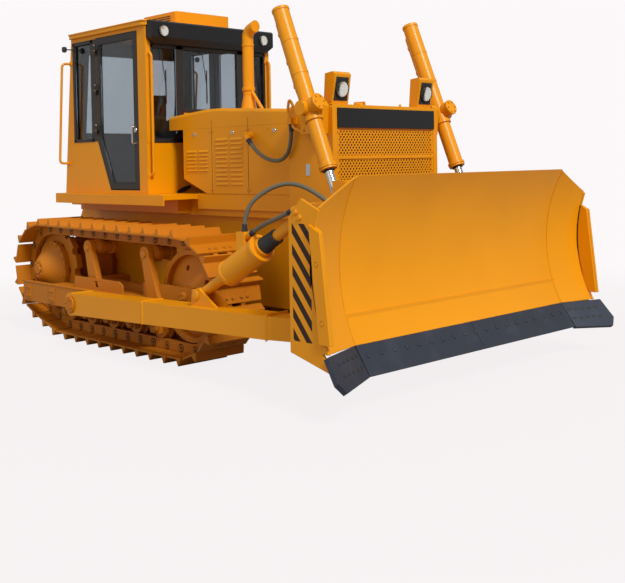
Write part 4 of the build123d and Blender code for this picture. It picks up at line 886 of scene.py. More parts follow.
@dataclass
class Places:
    """Places for a repeated shape, each with the way that it faces."""

    spots: list[Vector] = field(default_factory=list)
    out: list[Vector] = field(default_factory=list)
    along: list[Vector] = field(default_factory=list)

    def add(self, spot: Spot, out: Spot, along: Spot = (1, 0, 0)) -> None:
        """Add one place.

        Args:
            spot: Where it is.
            out: Where the shape's Z points.
            along: Where its X points.
        """
        self.spots.append(Vector(spot))
        self.out.append(Vector(out))
        self.along.append(Vector(along))

    def circle(self, centre: Spot, out: Spot, radius: float, count: int, start: float = 0.0) -> None:
        """Add places at equal steps round a circle."""
        axis = Vector(out).normalized()
        across = axis.orthogonal().normalized()
        up = axis.cross(across)
        for number in range(count):
            angle = start + 2 * math.pi * number / count
            spoke = across * math.cos(angle) + up * math.sin(angle)
            self.add(Vector(centre) + spoke * radius, axis, spoke)

    def row(self, first: Spot, last: Spot, count: int, out: Spot) -> None:
        """Add places at equal steps along a line."""
        run = Vector(last) - Vector(first)
        for number in range(count):
            self.add(Vector(first) + run * (number / max(count - 1, 1)), out, run)

    def data(self) -> bpy.types.Mesh:
        """Give the places as loose vertices with their directions."""
        mesh = bpy.data.meshes.new("places")
        mesh.from_pydata([tuple(spot) for spot in self.spots], [], [])
        for name, values in (("out", self.out), ("along", self.along)):
            layer = mesh.attributes.new(name, "FLOAT_VECTOR", "POINT")
            layer.data.foreach_set("vector", [part for value in values for part in value])
        return mesh


class Bolts:
    """Hexagon bolts with washers, from one tree."""

    def __init__(self) -> None:
        """Build the tree."""
        inputs = (("Radius", "NodeSocketFloat"), ("Height", "NodeSocketFloat"),
                  ("Material", "NodeSocketMaterial"))
        tree = Tree("hexagon_bolts", inputs)
        radius, height = tree.given["Radius"], tree.given["Height"]
        wide = tree.node("ShaderNodeMath", {"operation": "MULTIPLY"}, {0: radius, 1: 1.45})
        thin = tree.node("ShaderNodeMath", {"operation": "MULTIPLY"}, {0: height, 1: 0.3})
        raised = tree.node("ShaderNodeMath", {"operation": "MULTIPLY"}, {0: height, 1: 0.5})
        parts = []
        for sides, size, depth in ((6, radius, height), (16, wide.outputs[0], thin.outputs[0])):
            drum = tree.node(
                "GeometryNodeMeshCylinder", inputs={"Vertices": sides, "Radius": size, "Depth": depth}
            )
            parts.append(drum.outputs["Mesh"])
        lift = tree.node("ShaderNodeCombineXYZ", inputs={"Z": raised.outputs[0]})
        head = tree.node(
            "GeometryNodeTransform", inputs={"Geometry": parts[0], "Translation": lift.outputs[0]}
        )
        joined = tree.node("GeometryNodeJoinGeometry")
        for part in (head.outputs[0], parts[1]):
            tree.group.links.new(part, joined.inputs[0])
        tree.spread(joined.outputs[0], tree.given["Material"])
        self.tree = tree

    def set(
        self,
        name: str,
        body: str,
        places: Places,
        size: tuple[float, float],
        finish: tuple[bpy.types.Material, Slot],
    ) -> None:
        """Set one bolt on every place.

        Args:
            name: The piece's name.
            body: The body that it rides on.
            places: Where the bolts go.
            size: Radius and height of a head.
            finish: Material and slot.
        """
        values = {"Radius": size[0], "Height": size[1], "Material": finish[0]}
        placed(self.tree.apply(places.data(), values), name, body, *finish)


class Copies:
    """Copies of one modelled shape, from one tree."""

    def __init__(self) -> None:
        """Build the tree."""
        tree = Tree("copies", (("Shape", "NodeSocketObject"), ("Material", "NodeSocketMaterial")))
        shape = tree.node("GeometryNodeObjectInfo", inputs={"Object": tree.given["Shape"]})
        tree.spread(shape.outputs["Geometry"], tree.given["Material"])
        self.tree = tree

    def set(
        self,
        name: str,
        body: str,
        places: Places,
        shape: Shell,
        finish: tuple[bpy.types.Material, Slot],
    ) -> None:
        """Set one copy on every place.

        Args:
            name: The piece's name.
            body: The body that it rides on.
            places: Where the copies go.
            shape: The shape, round the origin, with its Z outward.
            finish: Material and slot.
        """
        pattern = bpy.data.objects.new("pattern", shape.data("pattern"))
        bpy.context.scene.collection.objects.link(pattern)
        values = {"Shape": pattern, "Material": finish[0]}
        made = self.tree.apply(places.data(), values)
        bpy.data.objects.remove(pattern)
        placed(made, name, body, *finish)


class Perforated:
    """A sheet with staggered round holes, from one tree."""

    def __init__(self) -> None:
        """Build the tree, which starts from one loose vertex per hole."""
        inputs = [(label, "NodeSocketFloat") for label in ("Width", "Height", "Hole", "Thick")]
        tree = Tree("perforated_sheet", (*inputs, ("Material", "NodeSocketMaterial")))
        given = tree.given
        edge = tree.node(
            "GeometryNodeCurvePrimitiveQuadrilateral",
            inputs={"Width": given["Width"], "Height": given["Height"]},
        )
        hole = tree.node(
            "GeometryNodeCurvePrimitiveCircle", inputs={"Resolution": 12, "Radius": given["Hole"]}
        )
        holes = tree.node(
            "GeometryNodeInstanceOnPoints",
            inputs={"Points": given["Geometry"], "Instance": hole.outputs[0]},
        )
        joined = tree.node("GeometryNodeJoinGeometry")
        real = tree.node("GeometryNodeRealizeInstances", inputs={0: holes.outputs[0]})
        for part in (real.outputs[0], edge.outputs[0]):
            tree.group.links.new(part, joined.inputs[0])
        flat = tree.node("GeometryNodeFillCurve", inputs={0: joined.outputs[0]})
        thick = tree.node(
            "GeometryNodeExtrudeMesh",
            {"mode": "FACES"},
            {"Mesh": flat.outputs[0], "Offset Scale": given["Thick"], "Individual": False},
        )
        both = tree.node("GeometryNodeJoinGeometry")
        under = tree.node("GeometryNodeFlipFaces", inputs={0: flat.outputs[0]})
        for part in (thick.outputs[0], under.outputs[0]):
            tree.group.links.new(part, both.inputs[0])
        tree.close(both.outputs[0], given["Material"])
        self.tree = tree

    def make(
        self, width: float, height: float, pitch: tuple[float, float], hole: float,
        thick: float, material: bpy.types.Material,
    ) -> bpy.types.Mesh:
        """Make a sheet round the origin, in X and Y.

        Args:
            width: Its size on X.
            height: Its size on Y.
            pitch: Step between holes in a row, and between rows.
            hole: Radius of a hole.
            thick: Its thickness.
            material: Its finish.

        Returns:
            The mesh.
        """
        places = Places()
        rows = int((height - 3 * hole) / pitch[1])
        for row in range(rows):
            shift = pitch[0] / 2 * (row % 2)
            count = int((width - 3 * hole - shift) / pitch[0])
            for number in range(count + 1):
                x = -width / 2 + 1.5 * hole + shift + pitch[0] * number
                places.add((x, -height / 2 + 2 * hole + pitch[1] * row, 0), (0, 0, 1))
        values = {"Width": width, "Height": height, "Hole": hole, "Thick": thick, "Material": material}
        return self.tree.apply(places.data(), values)


# ------------------------------------------------------------------ sub-assemblies


@dataclass
class Workshop:
    """What every sub-assembly builds with."""

    palette: Palette
    bolts: Bolts = field(default_factory=Bolts)
    copies: Copies = field(default_factory=Copies)
    sheets: Perforated = field(default_factory=Perforated)

    @property
    def yellow(self) -> tuple[bpy.types.Material, Slot]:
        """Machine paint."""
        return self.palette.paint, Slot.PAINT

    @property
    def gear(self) -> tuple[bpy.types.Material, Slot]:
        """Dusty paint of the running gear."""
        return self.palette.running, Slot.PAINT

    @property
    def black(self) -> tuple[bpy.types.Material, Slot]:
        """Black enamel."""
        return self.palette.black, Slot.BLACK

    @property
    def dark(self) -> tuple[bpy.types.Material, Slot]:
        """Black rubber of seals, and dark shapes of painted shade in recesses, slots, holes and vents."""
        return self.palette.rubber, Slot.BLACK

    @property
    def chrome(self) -> tuple[bpy.types.Material, Slot]:
        """Plated steel."""
        return self.palette.chrome, Slot.CHROME


def middle(node: str) -> Vector:
    """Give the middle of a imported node's box."""
    low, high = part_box(node)
    return (Vector(low) + Vector(high)) / 2


@dataclass
class TrackChains:
    """Link plates, pins and shoe bolts of both tracks."""

    shop: Workshop
    pin_z: float = 0.110
    idler_pin_r: float = 0.450
    sprocket_pin_r: float = 0.395
    bend_x: float = -1.672
    shoes: int = 36
    link_face: float = 0.092
    shoe_face: float = 0.056

    def pins(self) -> list[Vector]:
        """Give the chain's pins, as X and Z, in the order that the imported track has."""
        idler, sprocket = middle("idlers"), middle("sprockets")
        front = Vector((idler.x, self.pin_z + self.idler_pin_r))
        rear = Vector((sprocket.x, sprocket.z))
        run = rear - front
        top = math.atan2(run.y, run.x) - math.acos(
            (self.idler_pin_r - self.sprocket_pin_r) / run.length
        )
        drop = Vector((self.bend_x, self.pin_z)) - rear
        low = math.atan2(drop.y, drop.x) - math.acos(self.sprocket_pin_r / drop.length)
        line = [Vector((self.bend_x, self.pin_z))]
        for centre, radius, start, end in (
            (front, self.idler_pin_r, -math.pi / 2, top),
            (rear, self.sprocket_pin_r, top, low + 2 * math.pi),
        ):
            for step in range(181):
                angle = start + (end - start) * step / 180
                line.append(centre + Vector((math.cos(angle), math.sin(angle))) * radius)
        line.append(line[0])
        lengths = [(b - a).length for a, b in zip(line, line[1:])]
        step = sum(lengths) / self.shoes
        pins, travelled = [], 0.0
        for start, end, length in zip(line, line[1:], lengths):
            while len(pins) < self.shoes and len(pins) * step < travelled + length:
                pins.append(start.lerp(end, (len(pins) * step - travelled) / length))
            travelled += length
        return pins

    def link(self, pitch: float) -> Shell:
        """Model one link's side plate with its pin boss and waist."""
        outline = []
        for centre, start in ((-pitch / 2, math.pi / 2), (pitch / 2, -math.pi / 2)):
            for step in range(9):
                angle = start + math.pi * step / 8
                spot = (centre + 0.036 * math.cos(angle), 0.036 * math.sin(angle), 0.0)
                outline.append(spot)
            outline.append((0.0, math.copysign(0.029, centre), 0.0))
        shell = Shell().prism(outline, (0, 0, 0.0035))
        shell.lathe(
            (pitch / 2, 0, 0.003),
            (0, 0, 1),
            ((0, 0.027), (0.0035, 0.027), (0.0035, 0.018), (0.001, 0.016), (0.001, 0.0)),
            20,
        )
        return shell

    def build(self) -> None:
        """Dress both chains."""
        pins = self.pins()
        pitch = (pins[1] - pins[0]).length
        for side in Side:
            centre = middle(f"track_{side.label}").y
            plates, nuts, recesses = Places(), Places(), Places()
            for start, end in zip(pins, pins[1:] + pins[:1]):
                ahead = (end - start).normalized()
                along = Vector((ahead.x, 0, ahead.y))
                inward = Vector((-ahead.y, 0, ahead.x))
                spot = Vector(((start.x + end.x) / 2, centre, (start.y + end.y) / 2))
                for face in (-1, 1):
                    out = Vector((0, face, 0))
                    plates.add(spot + out * self.link_face, out, along)
                    pin = spot + along * (pitch / 2) + out * (self.link_face + 0.0042)
                    recesses.add(pin, out, along)
                    for reach in (0.045, 0.105):
                        nut = spot + out * reach - inward * self.shoe_face - along * 0.052
                        nuts.add(nut, -inward, along)
            track = (self.shop.palette.running, Slot.TRACK)
            shape = self.link(pitch)
            self.shop.copies.set(f"link_plates_{side.label}", "machine", plates, shape, track)
            # Dark discs on the floor of each boss's recess: painted shade at the pin ends.
            recess_shade = Shell().lathe((0, 0, 0), (0, 0, 1), ((0, 0.0155), (0.0006, 0.0155), (0.0006, 0.0)), 16)
            dark = (self.shop.palette.rubber, Slot.TRACK)
            self.shop.copies.set(f"pin_recesses_{side.label}", "machine", recesses, recess_shade, dark)
            self.shop.bolts.set(f"shoe_bolts_{side.label}", "machine", nuts, (0.013, 0.012), track)


@dataclass
class RunningGear:
    """Caps, covers and bolts of the wheels, frames and trunnions."""

    shop: Workshop
    track_y: float = 0.94
    trunnion_x: float = -0.885
    trunnion_z: float = 0.43
    strap_height: tuple[float, float] = (0.352, 0.498)

    def covers(self, side: Side) -> None:
        """Bolt rings of the final drive, the idler's shaft, rollers and trunnion."""
        sign = side.sign
        out = Vector((0, sign, 0))
        drive = middle("sprockets")
        face = Vector((drive.x, sign * (self.track_y + 0.064), drive.z))
        flange = Shell().ring(face, out, 0.228, 0.267, 0.020)
        cap_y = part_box("final_drives")[1][1]
        cap = Vector((drive.x, sign * cap_y, drive.z))
        flange.lathe(cap, out, ((-0.002, 0.050), (0.010, 0.050), (0.014, 0.044), (0.014, 0.0)), 24)
        flange.piece(f"drive_flange_{side.label}", "machine", *self.shop.gear, bevel=0.002)
        bolts = Places()
        bolts.circle(face + out * 0.020, out, 0.248, 18)
        bolts.circle(cap, out, 0.068, 8)
        idler = middle("idlers")
        shaft = Vector((idler.x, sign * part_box("idlers")[1][1], idler.z))
        bolts.circle(shaft + out * 0.008, out, 0.026, 3)
        caps = Shell().lathe(shaft, out, ((-0.002, 0.043), (0.008, 0.043), (0.008, 0.0)), 24)
        rollers_low, rollers_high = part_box("bottom_rollers")
        roller_z = (rollers_low[2] + rollers_high[2]) / 2
        first, last = rollers_low[0] + 0.118, rollers_high[0] - 0.118
        for number in range(5):
            x = first + (last - first) * number / 4
            end = Vector((x, sign * rollers_high[1], roller_z))
            profile = ((-0.002, 0.040), (0.006, 0.040), (0.010, 0.030), (0.010, 0.0))
            caps.lathe(end, out, profile, 20)
            bolts.circle(end + out * 0.006, out, 0.034, 4, 0.6)
        frame_y = max(abs(corner[1]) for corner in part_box(f"track_frame_{side.label}"))
        trunnion = Vector((self.trunnion_x, sign * frame_y, self.trunnion_z))
        caps.lathe(trunnion, out, ((0.0, 0.076), (0.012, 0.076), (0.016, 0.070), (0.016, 0.0)), 28)
        caps.piece(f"end_caps_{side.label}", "machine", *self.shop.gear, bevel=0.0015)
        bolts.circle(trunnion + out * 0.016, out, 0.050, 4, 0.4)
        self.shop.bolts.set(f"gear_bolts_{side.label}", "machine", bolts, (0.0085, 0.009), self.shop.gear)

    def frame(self, side: Side) -> None:
        """Straps, bolts and seams of a track frame."""
        sign = side.sign
        rear_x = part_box(f"track_frame_{side.label}")[0][0]
        outer = self.track_y + 0.31
        y0, y1 = side.span(outer, outer + 0.008)
        z0, z1 = self.strap_height
        out = Vector((0, sign, 0))
        straps = Shell()
        bolts = Places()
        for x in (-2.08, -1.62, -1.15, -0.55, -0.16):
            straps.block((x - 0.05, y0, z0), (x + 0.05, y1, z1))
            for z in (0.385, 0.465):
                for shift in (-0.028, 0.028):
                    bolts.add((x + shift, sign * (outer + 0.008), z), out)
        straps.rod((rear_x + 0.01, sign * outer, 0.520), (-0.02, sign * outer, 0.520), 0.006, 8)
        straps.piece(f"frame_straps_{side.label}", "machine", *self.shop.gear, bevel=0.002)
        self.shop.bolts.set(f"frame_bolts_{side.label}", "machine", bolts, (0.011, 0.010), self.shop.gear)

    def build(self) -> None:
        """Dress both sides."""
        for side in Side:
            self.covers(side)
            self.frame(side)


@dataclass
class BladeFittings:
    """Bolts, seams, lugs and painted shade in slots of the blade, its arms and its braces."""

    shop: Workshop
    fold_y: float = 1.245
    low: Spot = (2.405, 0.443)
    mid: Spot = (2.268, 0.950)
    top: Spot = (2.440, 1.560)
    tip: Spot = (2.535, 0.254)

    def curve(self, z: float) -> float:
        """Give the moldboard's front at a height, from the circle through its three points."""
        (x1, z1), (x2, z2), (x3, z3) = self.low, self.mid, self.top
        scale = 2 * (x1 * (z2 - z3) + x2 * (z3 - z1) + x3 * (z1 - z2))
        s1, s2, s3 = (x * x + y * y for x, y in (self.low, self.mid, self.top))
        cx = (s1 * (z2 - z3) + s2 * (z3 - z1) + s3 * (z1 - z2)) / scale
        cz = (s1 * (x3 - x2) + s2 * (x1 - x3) + s3 * (x2 - x1)) / scale
        radius = math.hypot(x1 - cx, z1 - cz)
        return cx - math.sqrt(radius**2 - (z - cz) ** 2)

    def edge(self) -> None:
        """Bolt the cutting edge, mark its middle joint and paint shade into the end bits' slots."""
        slope = (Vector(self.tip) - Vector(self.low)).normalized()
        normal = Vector((-slope.y, 0, slope.x))
        heads = Places()
        for number in range(19):
            y = -1.17 + 2.34 * number / 18
            heads.add((self.low[0] + slope.x * 0.085, y, self.low[1] + slope.y * 0.085), normal)
        head = Shell().lathe(
            (0, 0, 0), (0, 0, 1), ((0, 0.017), (0.004, 0.0165), (0.006, 0.012), (0.006, 0.0)), 18
        )
        steel = (self.shop.palette.edge, Slot.EDGE)
        self.shop.copies.set("edge_bolts", "blade", heads, head, steel)
        seams = Shell()
        start = Vector((self.low[0], 0, self.low[1])) + normal * 0.0005
        end = Vector((self.tip[0], 0, self.tip[1])) + normal * 0.0005
        corners = [(spot.x, y, spot.z) for spot, y in
                   ((start, -0.003), (start, 0.003), (end, 0.003), (end, -0.003))]
        seams.prism(corners, normal * 0.0008)
        seams.piece("edge_seam", "blade", *self.shop.dark)
        slots = Places()
        for side in Side:
            sign = side.sign
            corners = ((2.401, 1.251, 0.4427), (2.537, 1.251, 0.254), (2.542, 1.635, 0.4427))
            corner, down, outer = (Vector((x, sign * y, z)) for x, y, z in corners)
            across, drop = outer - corner, down - corner
            out = across.cross(drop) if sign < 0 else drop.cross(across)
            out = out if out.x > 0 else -out
            for row in (0.30, 0.66):
                for number in range(5):
                    slots.add(corner + across * (0.10 + 0.165 * number) + drop * row, out, across)
        # Slots of the end bits: thin dark shapes, painted shade in place of the open slots.
        slot = Shell()
        outline = []
        for centre, start in ((-0.010, math.pi / 2), (0.010, -math.pi / 2)):
            for step in range(7):
                angle = start + math.pi * step / 6
                outline.append((centre + 0.010 * math.cos(angle), 0.010 * math.sin(angle), 0.0))
        slot.prism(outline, (0, 0, 0.0012))
        self.shop.copies.set("bit_slots", "blade", slots, slot, self.shop.dark)

    def plate(self) -> None:
        """Seams at the folds, bolts of the outer strips and pins of the braces."""
        seams = Shell()
        for side in Side:
            sign = side.sign
            line = []
            for step in range(17):
                z = 0.445 + (1.545 - 0.445) * step / 16
                line.append((self.curve(z) + 0.001, sign * self.fold_y, z))
            seams.tube(line, 0.004, 0.01, 6)
        seams.piece("fold_seams", "blade", self.shop.palette.blade, Slot.PAINT)
        bolts, pins = Places(), Shell()
        for side in Side:
            sign = side.sign
            for x, z in ((2.472, 0.640), (2.430, 1.010)):
                bolts.add((x, sign * 1.606, z), (0, sign, 0))
            for x, z in ((2.225, 1.335), (2.262, 1.300)):
                bolts.add((x, sign * 1.595, z), (0, sign, 0))
            for x, z in ((0.868, 0.658), (2.085, 1.330)):
                pins.rod((x, sign * 1.253, z), (x, sign * 1.407, z), 0.027, 18)
                pins.ring((x, sign * 1.394, z), (0, sign, 0), 0.02, 0.040, 0.010)
        self.shop.bolts.set("strip_bolts", "blade", bolts, (0.016, 0.012), self.shop.yellow)
        pins.piece("brace_pins", "blade", *self.shop.yellow, bevel=0.002)

    def arms(self) -> None:
        """Weld beads, lugs and the braces' collars."""
        beads = Shell()
        for side in Side:
            sign = side.sign
            for x in (0.245, 1.765):
                low = 0.43 + (x + 0.885) * 0.032 - 0.092
                high = low + 0.186
                ys = (sign * 1.262, sign * 1.467)
                corners = [(x, ys[1], low), (x, ys[1], high), (x, ys[0], high)]
                beads.tube(corners, 0.007, 0.01, 8)
            foot, head = Vector((0.868, sign * 1.33, 0.658)), Vector((2.085, sign * 1.33, 1.330))
            along = (head - foot).normalized()
            length = (head - foot).length
            radius = 0.098 if side is Side.RIGHT else 0.060
            collars = ((0.272, 0.004, 0.030), (0.565, 0.008, 0.030), (0.585, -0.024, 0.035))
            for share, reach, depth in collars:
                profile = ((0, 0.038), (0, radius + reach), (depth, radius + reach), (depth, 0.038))
                beads.lathe(foot + along * (length * share), along, profile, 32)
            if side is Side.LEFT:
                for share in (0.20, 0.66):
                    profile = ((0, 0.03), (0, 0.058), (0.04, 0.058), (0.04, 0.03))
                    beads.lathe(foot + along * (length * share), along, profile, 6)
        beads.piece("arm_details", "blade", *self.shop.yellow, bevel=0.002)
        ring = Shell()
        foot, head = Vector((0.868, -1.33, 0.658)), Vector((2.085, -1.33, 1.330))
        along = (head - foot).normalized()
        start = foot + along * ((head - foot).length * 0.605)
        profile = ((0.0, 0.0), (0.0, 0.062), (0.05, 0.062), (0.06, 0.056), (0.16, 0.056), (0.165, 0.0))
        ring.lathe(start, along, profile, 28)
        ring.piece("tilt_rod_boot", "blade", *self.shop.dark)

    def build(self) -> None:
        """Dress the blade."""
        self.edge()
        self.plate()
        self.arms()


@dataclass
class LiftCylinders:
    """End rings, oil pipes, clamps and bolted caps of the two lift cylinders."""

    shop: Workshop
    pin: Spot = (1.516, 0.770, 2.060)
    eye: Spot = (1.945, 0.770, 1.000)

    def build(self) -> None:
        """Dress both cylinders."""
        for side in Side:
            pin = Vector((self.pin[0], self.pin[1] * side.sign, self.pin[2]))
            eye = Vector((self.eye[0], self.eye[1] * side.sign, self.eye[2]))
            down = (eye - pin).normalized()
            ahead = Vector((-down.z, 0, down.x))
            body = f"lift_barrel_{side.label}"
            trim = Shell()
            top = pin - down * 0.850
            profile = ((0.004, 0.0), (0.004, 0.070), (0.026, 0.070), (0.026, 0.055), (0.012, 0.0))
            trim.lathe(top, down, profile, 32)
            for along, reach in ((0.462, 0.071), (-0.30, 0.0685), (-0.58, 0.0685)):
                trim.ring(pin + down * along, down, 0.05, reach, 0.022)
            back = pin - ahead * 0.082
            trim.tube(
                (pin - down * 0.77 - ahead * 0.055, back - down * 0.77, back - down * 0.16,
                 pin - down * 0.10 - ahead * 0.062), 0.011, 0.03, 10
            )
            for along in (-0.66, -0.42, -0.22):
                spot = pin + down * along - ahead * 0.075
                trim.lathe(spot - down * 0.012, down, ((0, 0.021), (0.024, 0.021)), 14)
            cap = pin + Vector((0, 0.018 * side.sign, 0)) + ahead * 0.128
            trim.lathe(cap, ahead, ((-0.012, 0.066), (0.0, 0.066), (0.004, 0.062), (0.004, 0.0)), 32)
            trim.piece(f"barrel_trim_{side.label}", body, *self.shop.yellow, bevel=0.0015)
            bolts = Places()
            bolts.circle(cap + ahead * 0.004, ahead, 0.047, 6, 0.3)
            self.shop.bolts.set(f"cap_bolts_{side.label}", body, bolts, (0.007, 0.007), self.shop.yellow)
            lower = Places()
            lower.circle(pin + down * 0.484, down, 0.052, 8)
            self.shop.bolts.set(f"gland_bolts_{side.label}", body, lower, (0.006, 0.020), self.shop.yellow)
            rod = Shell().ring(pin + down * 0.502, down, 0.0336, 0.044, 0.010)
            rod.piece(f"wiper_{side.label}", body, *self.shop.dark)


def lamp(shop: Workshop, name: str, spot: Spot, out: Spot, radius: float, body: str) -> None:
    """Set a round lamp: bezel, mirror, bulb and lens.

    Args:
        shop: What to build with.
        name: The lamp's name.
        spot: Middle of its back.
        out: Where it shines.
        radius: Radius of its bezel.
        body: The body that it rides on.
    """
    bezel = Shell().ring(spot, out, radius * 0.86, radius, 0.016)
    bezel.piece(f"{name}_bezel", body, shop.palette.frame, Slot.BLACK, 0.002)
    dish = Shell().lathe(
        spot,
        out,
        ((0.012, radius * 0.87), (0.006, radius * 0.7), (0.002, radius * 0.4), (0.002, 0.0)),
        32,
    )
    dish.lathe(spot, out, ((0.002, radius * 0.12), (0.010, radius * 0.10), (0.012, 0.0)), 12)
    dish.piece(f"{name}_mirror", body, shop.palette.mirror, Slot.CHROME)
    lens = Shell().lathe(
        spot,
        out,
        (
            (0.013, 0.0),
            (0.013, radius * 0.86),
            (0.016, radius * 0.86),
            (0.021, radius * 0.6),
            (0.024, radius * 0.3),
            (0.025, 0.0),
        ),
        32,
    )
    lens.piece(f"{name}_lens", body, shop.palette.lens, Slot.GLASS)


@dataclass
class EngineHousing:
    """Grille with a dark plate of painted shade behind it, seams, latches, lamps and pipes round the
    engine.
    """

    shop: Workshop
    hood_half: float = 0.5
    housing_half: float = 0.625

    def grille(self) -> None:
        """Replace the plain grille by a perforated one, with its bar and a dark red-brown plate behind it
        that paints the radiator's shade.
        """
        low, high = (Vector(corner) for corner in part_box("grille"))
        pitch = (0.034, 0.0205)
        mesh = self.shop.sheets.make(
            high.y - low.y, high.z - low.z, pitch, 0.0085, 0.004, self.shop.palette.paint
        )
        centre = (low + high) / 2
        for vertex in mesh.vertices:
            x, y, z = vertex.co
            vertex.co = (high.x - 0.004 + z, centre.y + x, centre.z + y)
        sheet = placed(mesh, "perforated_grille", "machine", *self.shop.yellow)
        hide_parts("grille")
        frame_bars = Shell()
        frame_bars.block((high.x - 0.002, low.y, 1.674), (high.x + 0.007, high.y, 1.700))
        for y in (low.y, high.y - 0.022):
            frame_bars.block((high.x - 0.002, y, low.z), (high.x + 0.005, y + 0.022, high.z))
        frame_bars.block((high.x - 0.002, low.y, low.z), (high.x + 0.005, high.y, low.z + 0.022))
        frame_bars.piece("grille_bars", "machine", *self.shop.yellow, bevel=0.0015)
        # Painted shade: a dark red-brown plate that stands for the shaded radiator behind the holes.
        core = Shell().block((1.535, low.y + 0.045, low.z + 0.045), (1.545, high.y - 0.045, high.z - 0.045))
        core.piece("radiator_core", "machine", self.shop.palette.core, Slot.ENGINE)
        bolts = Places()
        for y in (low.y + 0.011, high.y - 0.011):
            bolts.row((high.x + 0.005, y, 0.80), (high.x + 0.005, y, 1.88), 8, (1, 0, 0))
        self.shop.bolts.set("grille_bolts", "machine", bolts, (0.006, 0.005), self.shop.yellow)

    def panels(self) -> None:
        """Bolts, latches, seams and a bare plate on the sides."""
        bolts, latches, seams, plates = Places(), Places(), Shell(), Shell()
        for side in Side:
            sign = side.sign
            face, out = sign * self.hood_half, (0, sign, 0)
            for x in (-0.455, -0.068, -0.030, 0.434, 0.478, 0.72, 0.98):
                for z in (1.425, 1.945):
                    if x > -0.4 or z > 1.6:
                        bolts.add((x, face, z), out)
            for x in (0.25, -0.30, 0.80):
                latches.add((x, face, 1.925), out)
            y0, y1 = side.span(self.hood_half - 0.006, self.hood_half)
            for x in (-0.049, 0.455):
                seams.block((x - 0.002, y0, 1.392), (x + 0.002, y1, 2.05))
            y0, y1 = side.span(self.housing_half, self.housing_half + 0.003)
            plates.block((1.305, y0, 1.550), (1.352, y1, 1.640))
        self.shop.bolts.set("panel_bolts", "machine", bolts, (0.006, 0.005), self.shop.yellow)
        latch = Shell().lathe((0, 0, 0), (0, 0, 1), ((0, 0.019), (0.005, 0.017), (0.005, 0.0)), 20)
        latch.block((-0.013, -0.003, 0.004), (0.013, 0.003, 0.009))
        self.shop.copies.set("panel_latches", "machine", latches, latch, self.shop.chrome)
        seams.piece("panel_seams", "machine", *self.shop.dark)
        plates.piece("bare_plates", "machine", self.shop.palette.chrome, Slot.CHROME, 0.001)

    def top(self) -> None:
        """Filler cap, housing bolts, exhaust clamp and brace, and the bent rails."""
        cap = Shell()
        cap.lathe((1.30, 0.0, 2.094), (0, 0, 1), ((0, 0.050), (0.035, 0.050), (0.042, 0.042), (0.042, 0.0)))
        cap.block((1.24, -0.008, 2.128), (1.36, 0.008, 2.146))
        cap.piece("filler_cap", "machine", *self.shop.yellow, bevel=0.003)
        brace = Shell()
        brace.tube(((-0.045, -0.04, 2.345), (0.085, -0.04, 2.19), (0.125, -0.04, 2.142)), 0.016, 0.03, 12)
        brace.ring((-0.07, -0.04, 2.325), (0, 0, 1), 0.051, 0.060, 0.034)
        brace.ring((-0.07, -0.04, 2.735), (0, 0, 1), 0.051, 0.057, 0.018)
        brace.piece("exhaust_brace", "machine", *self.shop.yellow, bevel=0.002)
        rails, bolts = Shell(), Places()
        for side in Side:
            sign = side.sign
            corners = ((1.190, 0.632, 2.085), (1.165, 0.664, 2.160), (1.150, 0.668, 2.060),
                       (1.215, 0.672, 1.925), (1.340, 0.662, 1.880))
            rails.tube([(x, sign * y, z) for x, y, z in corners], 0.011, 0.035, 12)
            bolts.row((1.14, sign * 0.612, 2.0945), (1.58, sign * 0.612, 2.0945), 6, (0, 0, 1))
            bolts.row((1.36, sign * 0.694, 1.90), (1.36, sign * 0.694, 2.06), 3, (0, sign, 0))
        rails.piece("bent_rails", "machine", *self.shop.yellow)
        self.shop.bolts.set("housing_bolts", "machine", bolts, (0.008, 0.007), self.shop.yellow)

    def lamps(self) -> None:
        """Faces of the two work lamps on the housing, each set on a dark plate of painted shade for its
        recess.
        """
        out = Vector((0.9853, 0, -0.1711))
        up = Vector((0.1711, 0, 0.9853))
        boxes = Shell()
        for side in Side:
            centre = Vector((1.5865, side.sign * 0.503, 2.212))
            across = Vector((0, 1, 0))
            corners = [centre + across * y + up * z for y, z in
                       ((-0.074, -0.088), (0.074, -0.088), (0.066, 0.092), (-0.066, 0.092))]
            boxes.prism(corners, out * 0.003)
            lamp(self.shop, f"work_lamp_{side.label}", centre + out * 0.003, out, 0.068, "machine")
        # Dark plates behind the lamps: painted shade of the lamps' recesses.
        boxes.piece("lamp_recesses", "machine", *self.shop.dark)

    def build(self) -> None:
        """Dress the housing."""
        self.grille()
        self.panels()
        self.top()
        self.lamps()


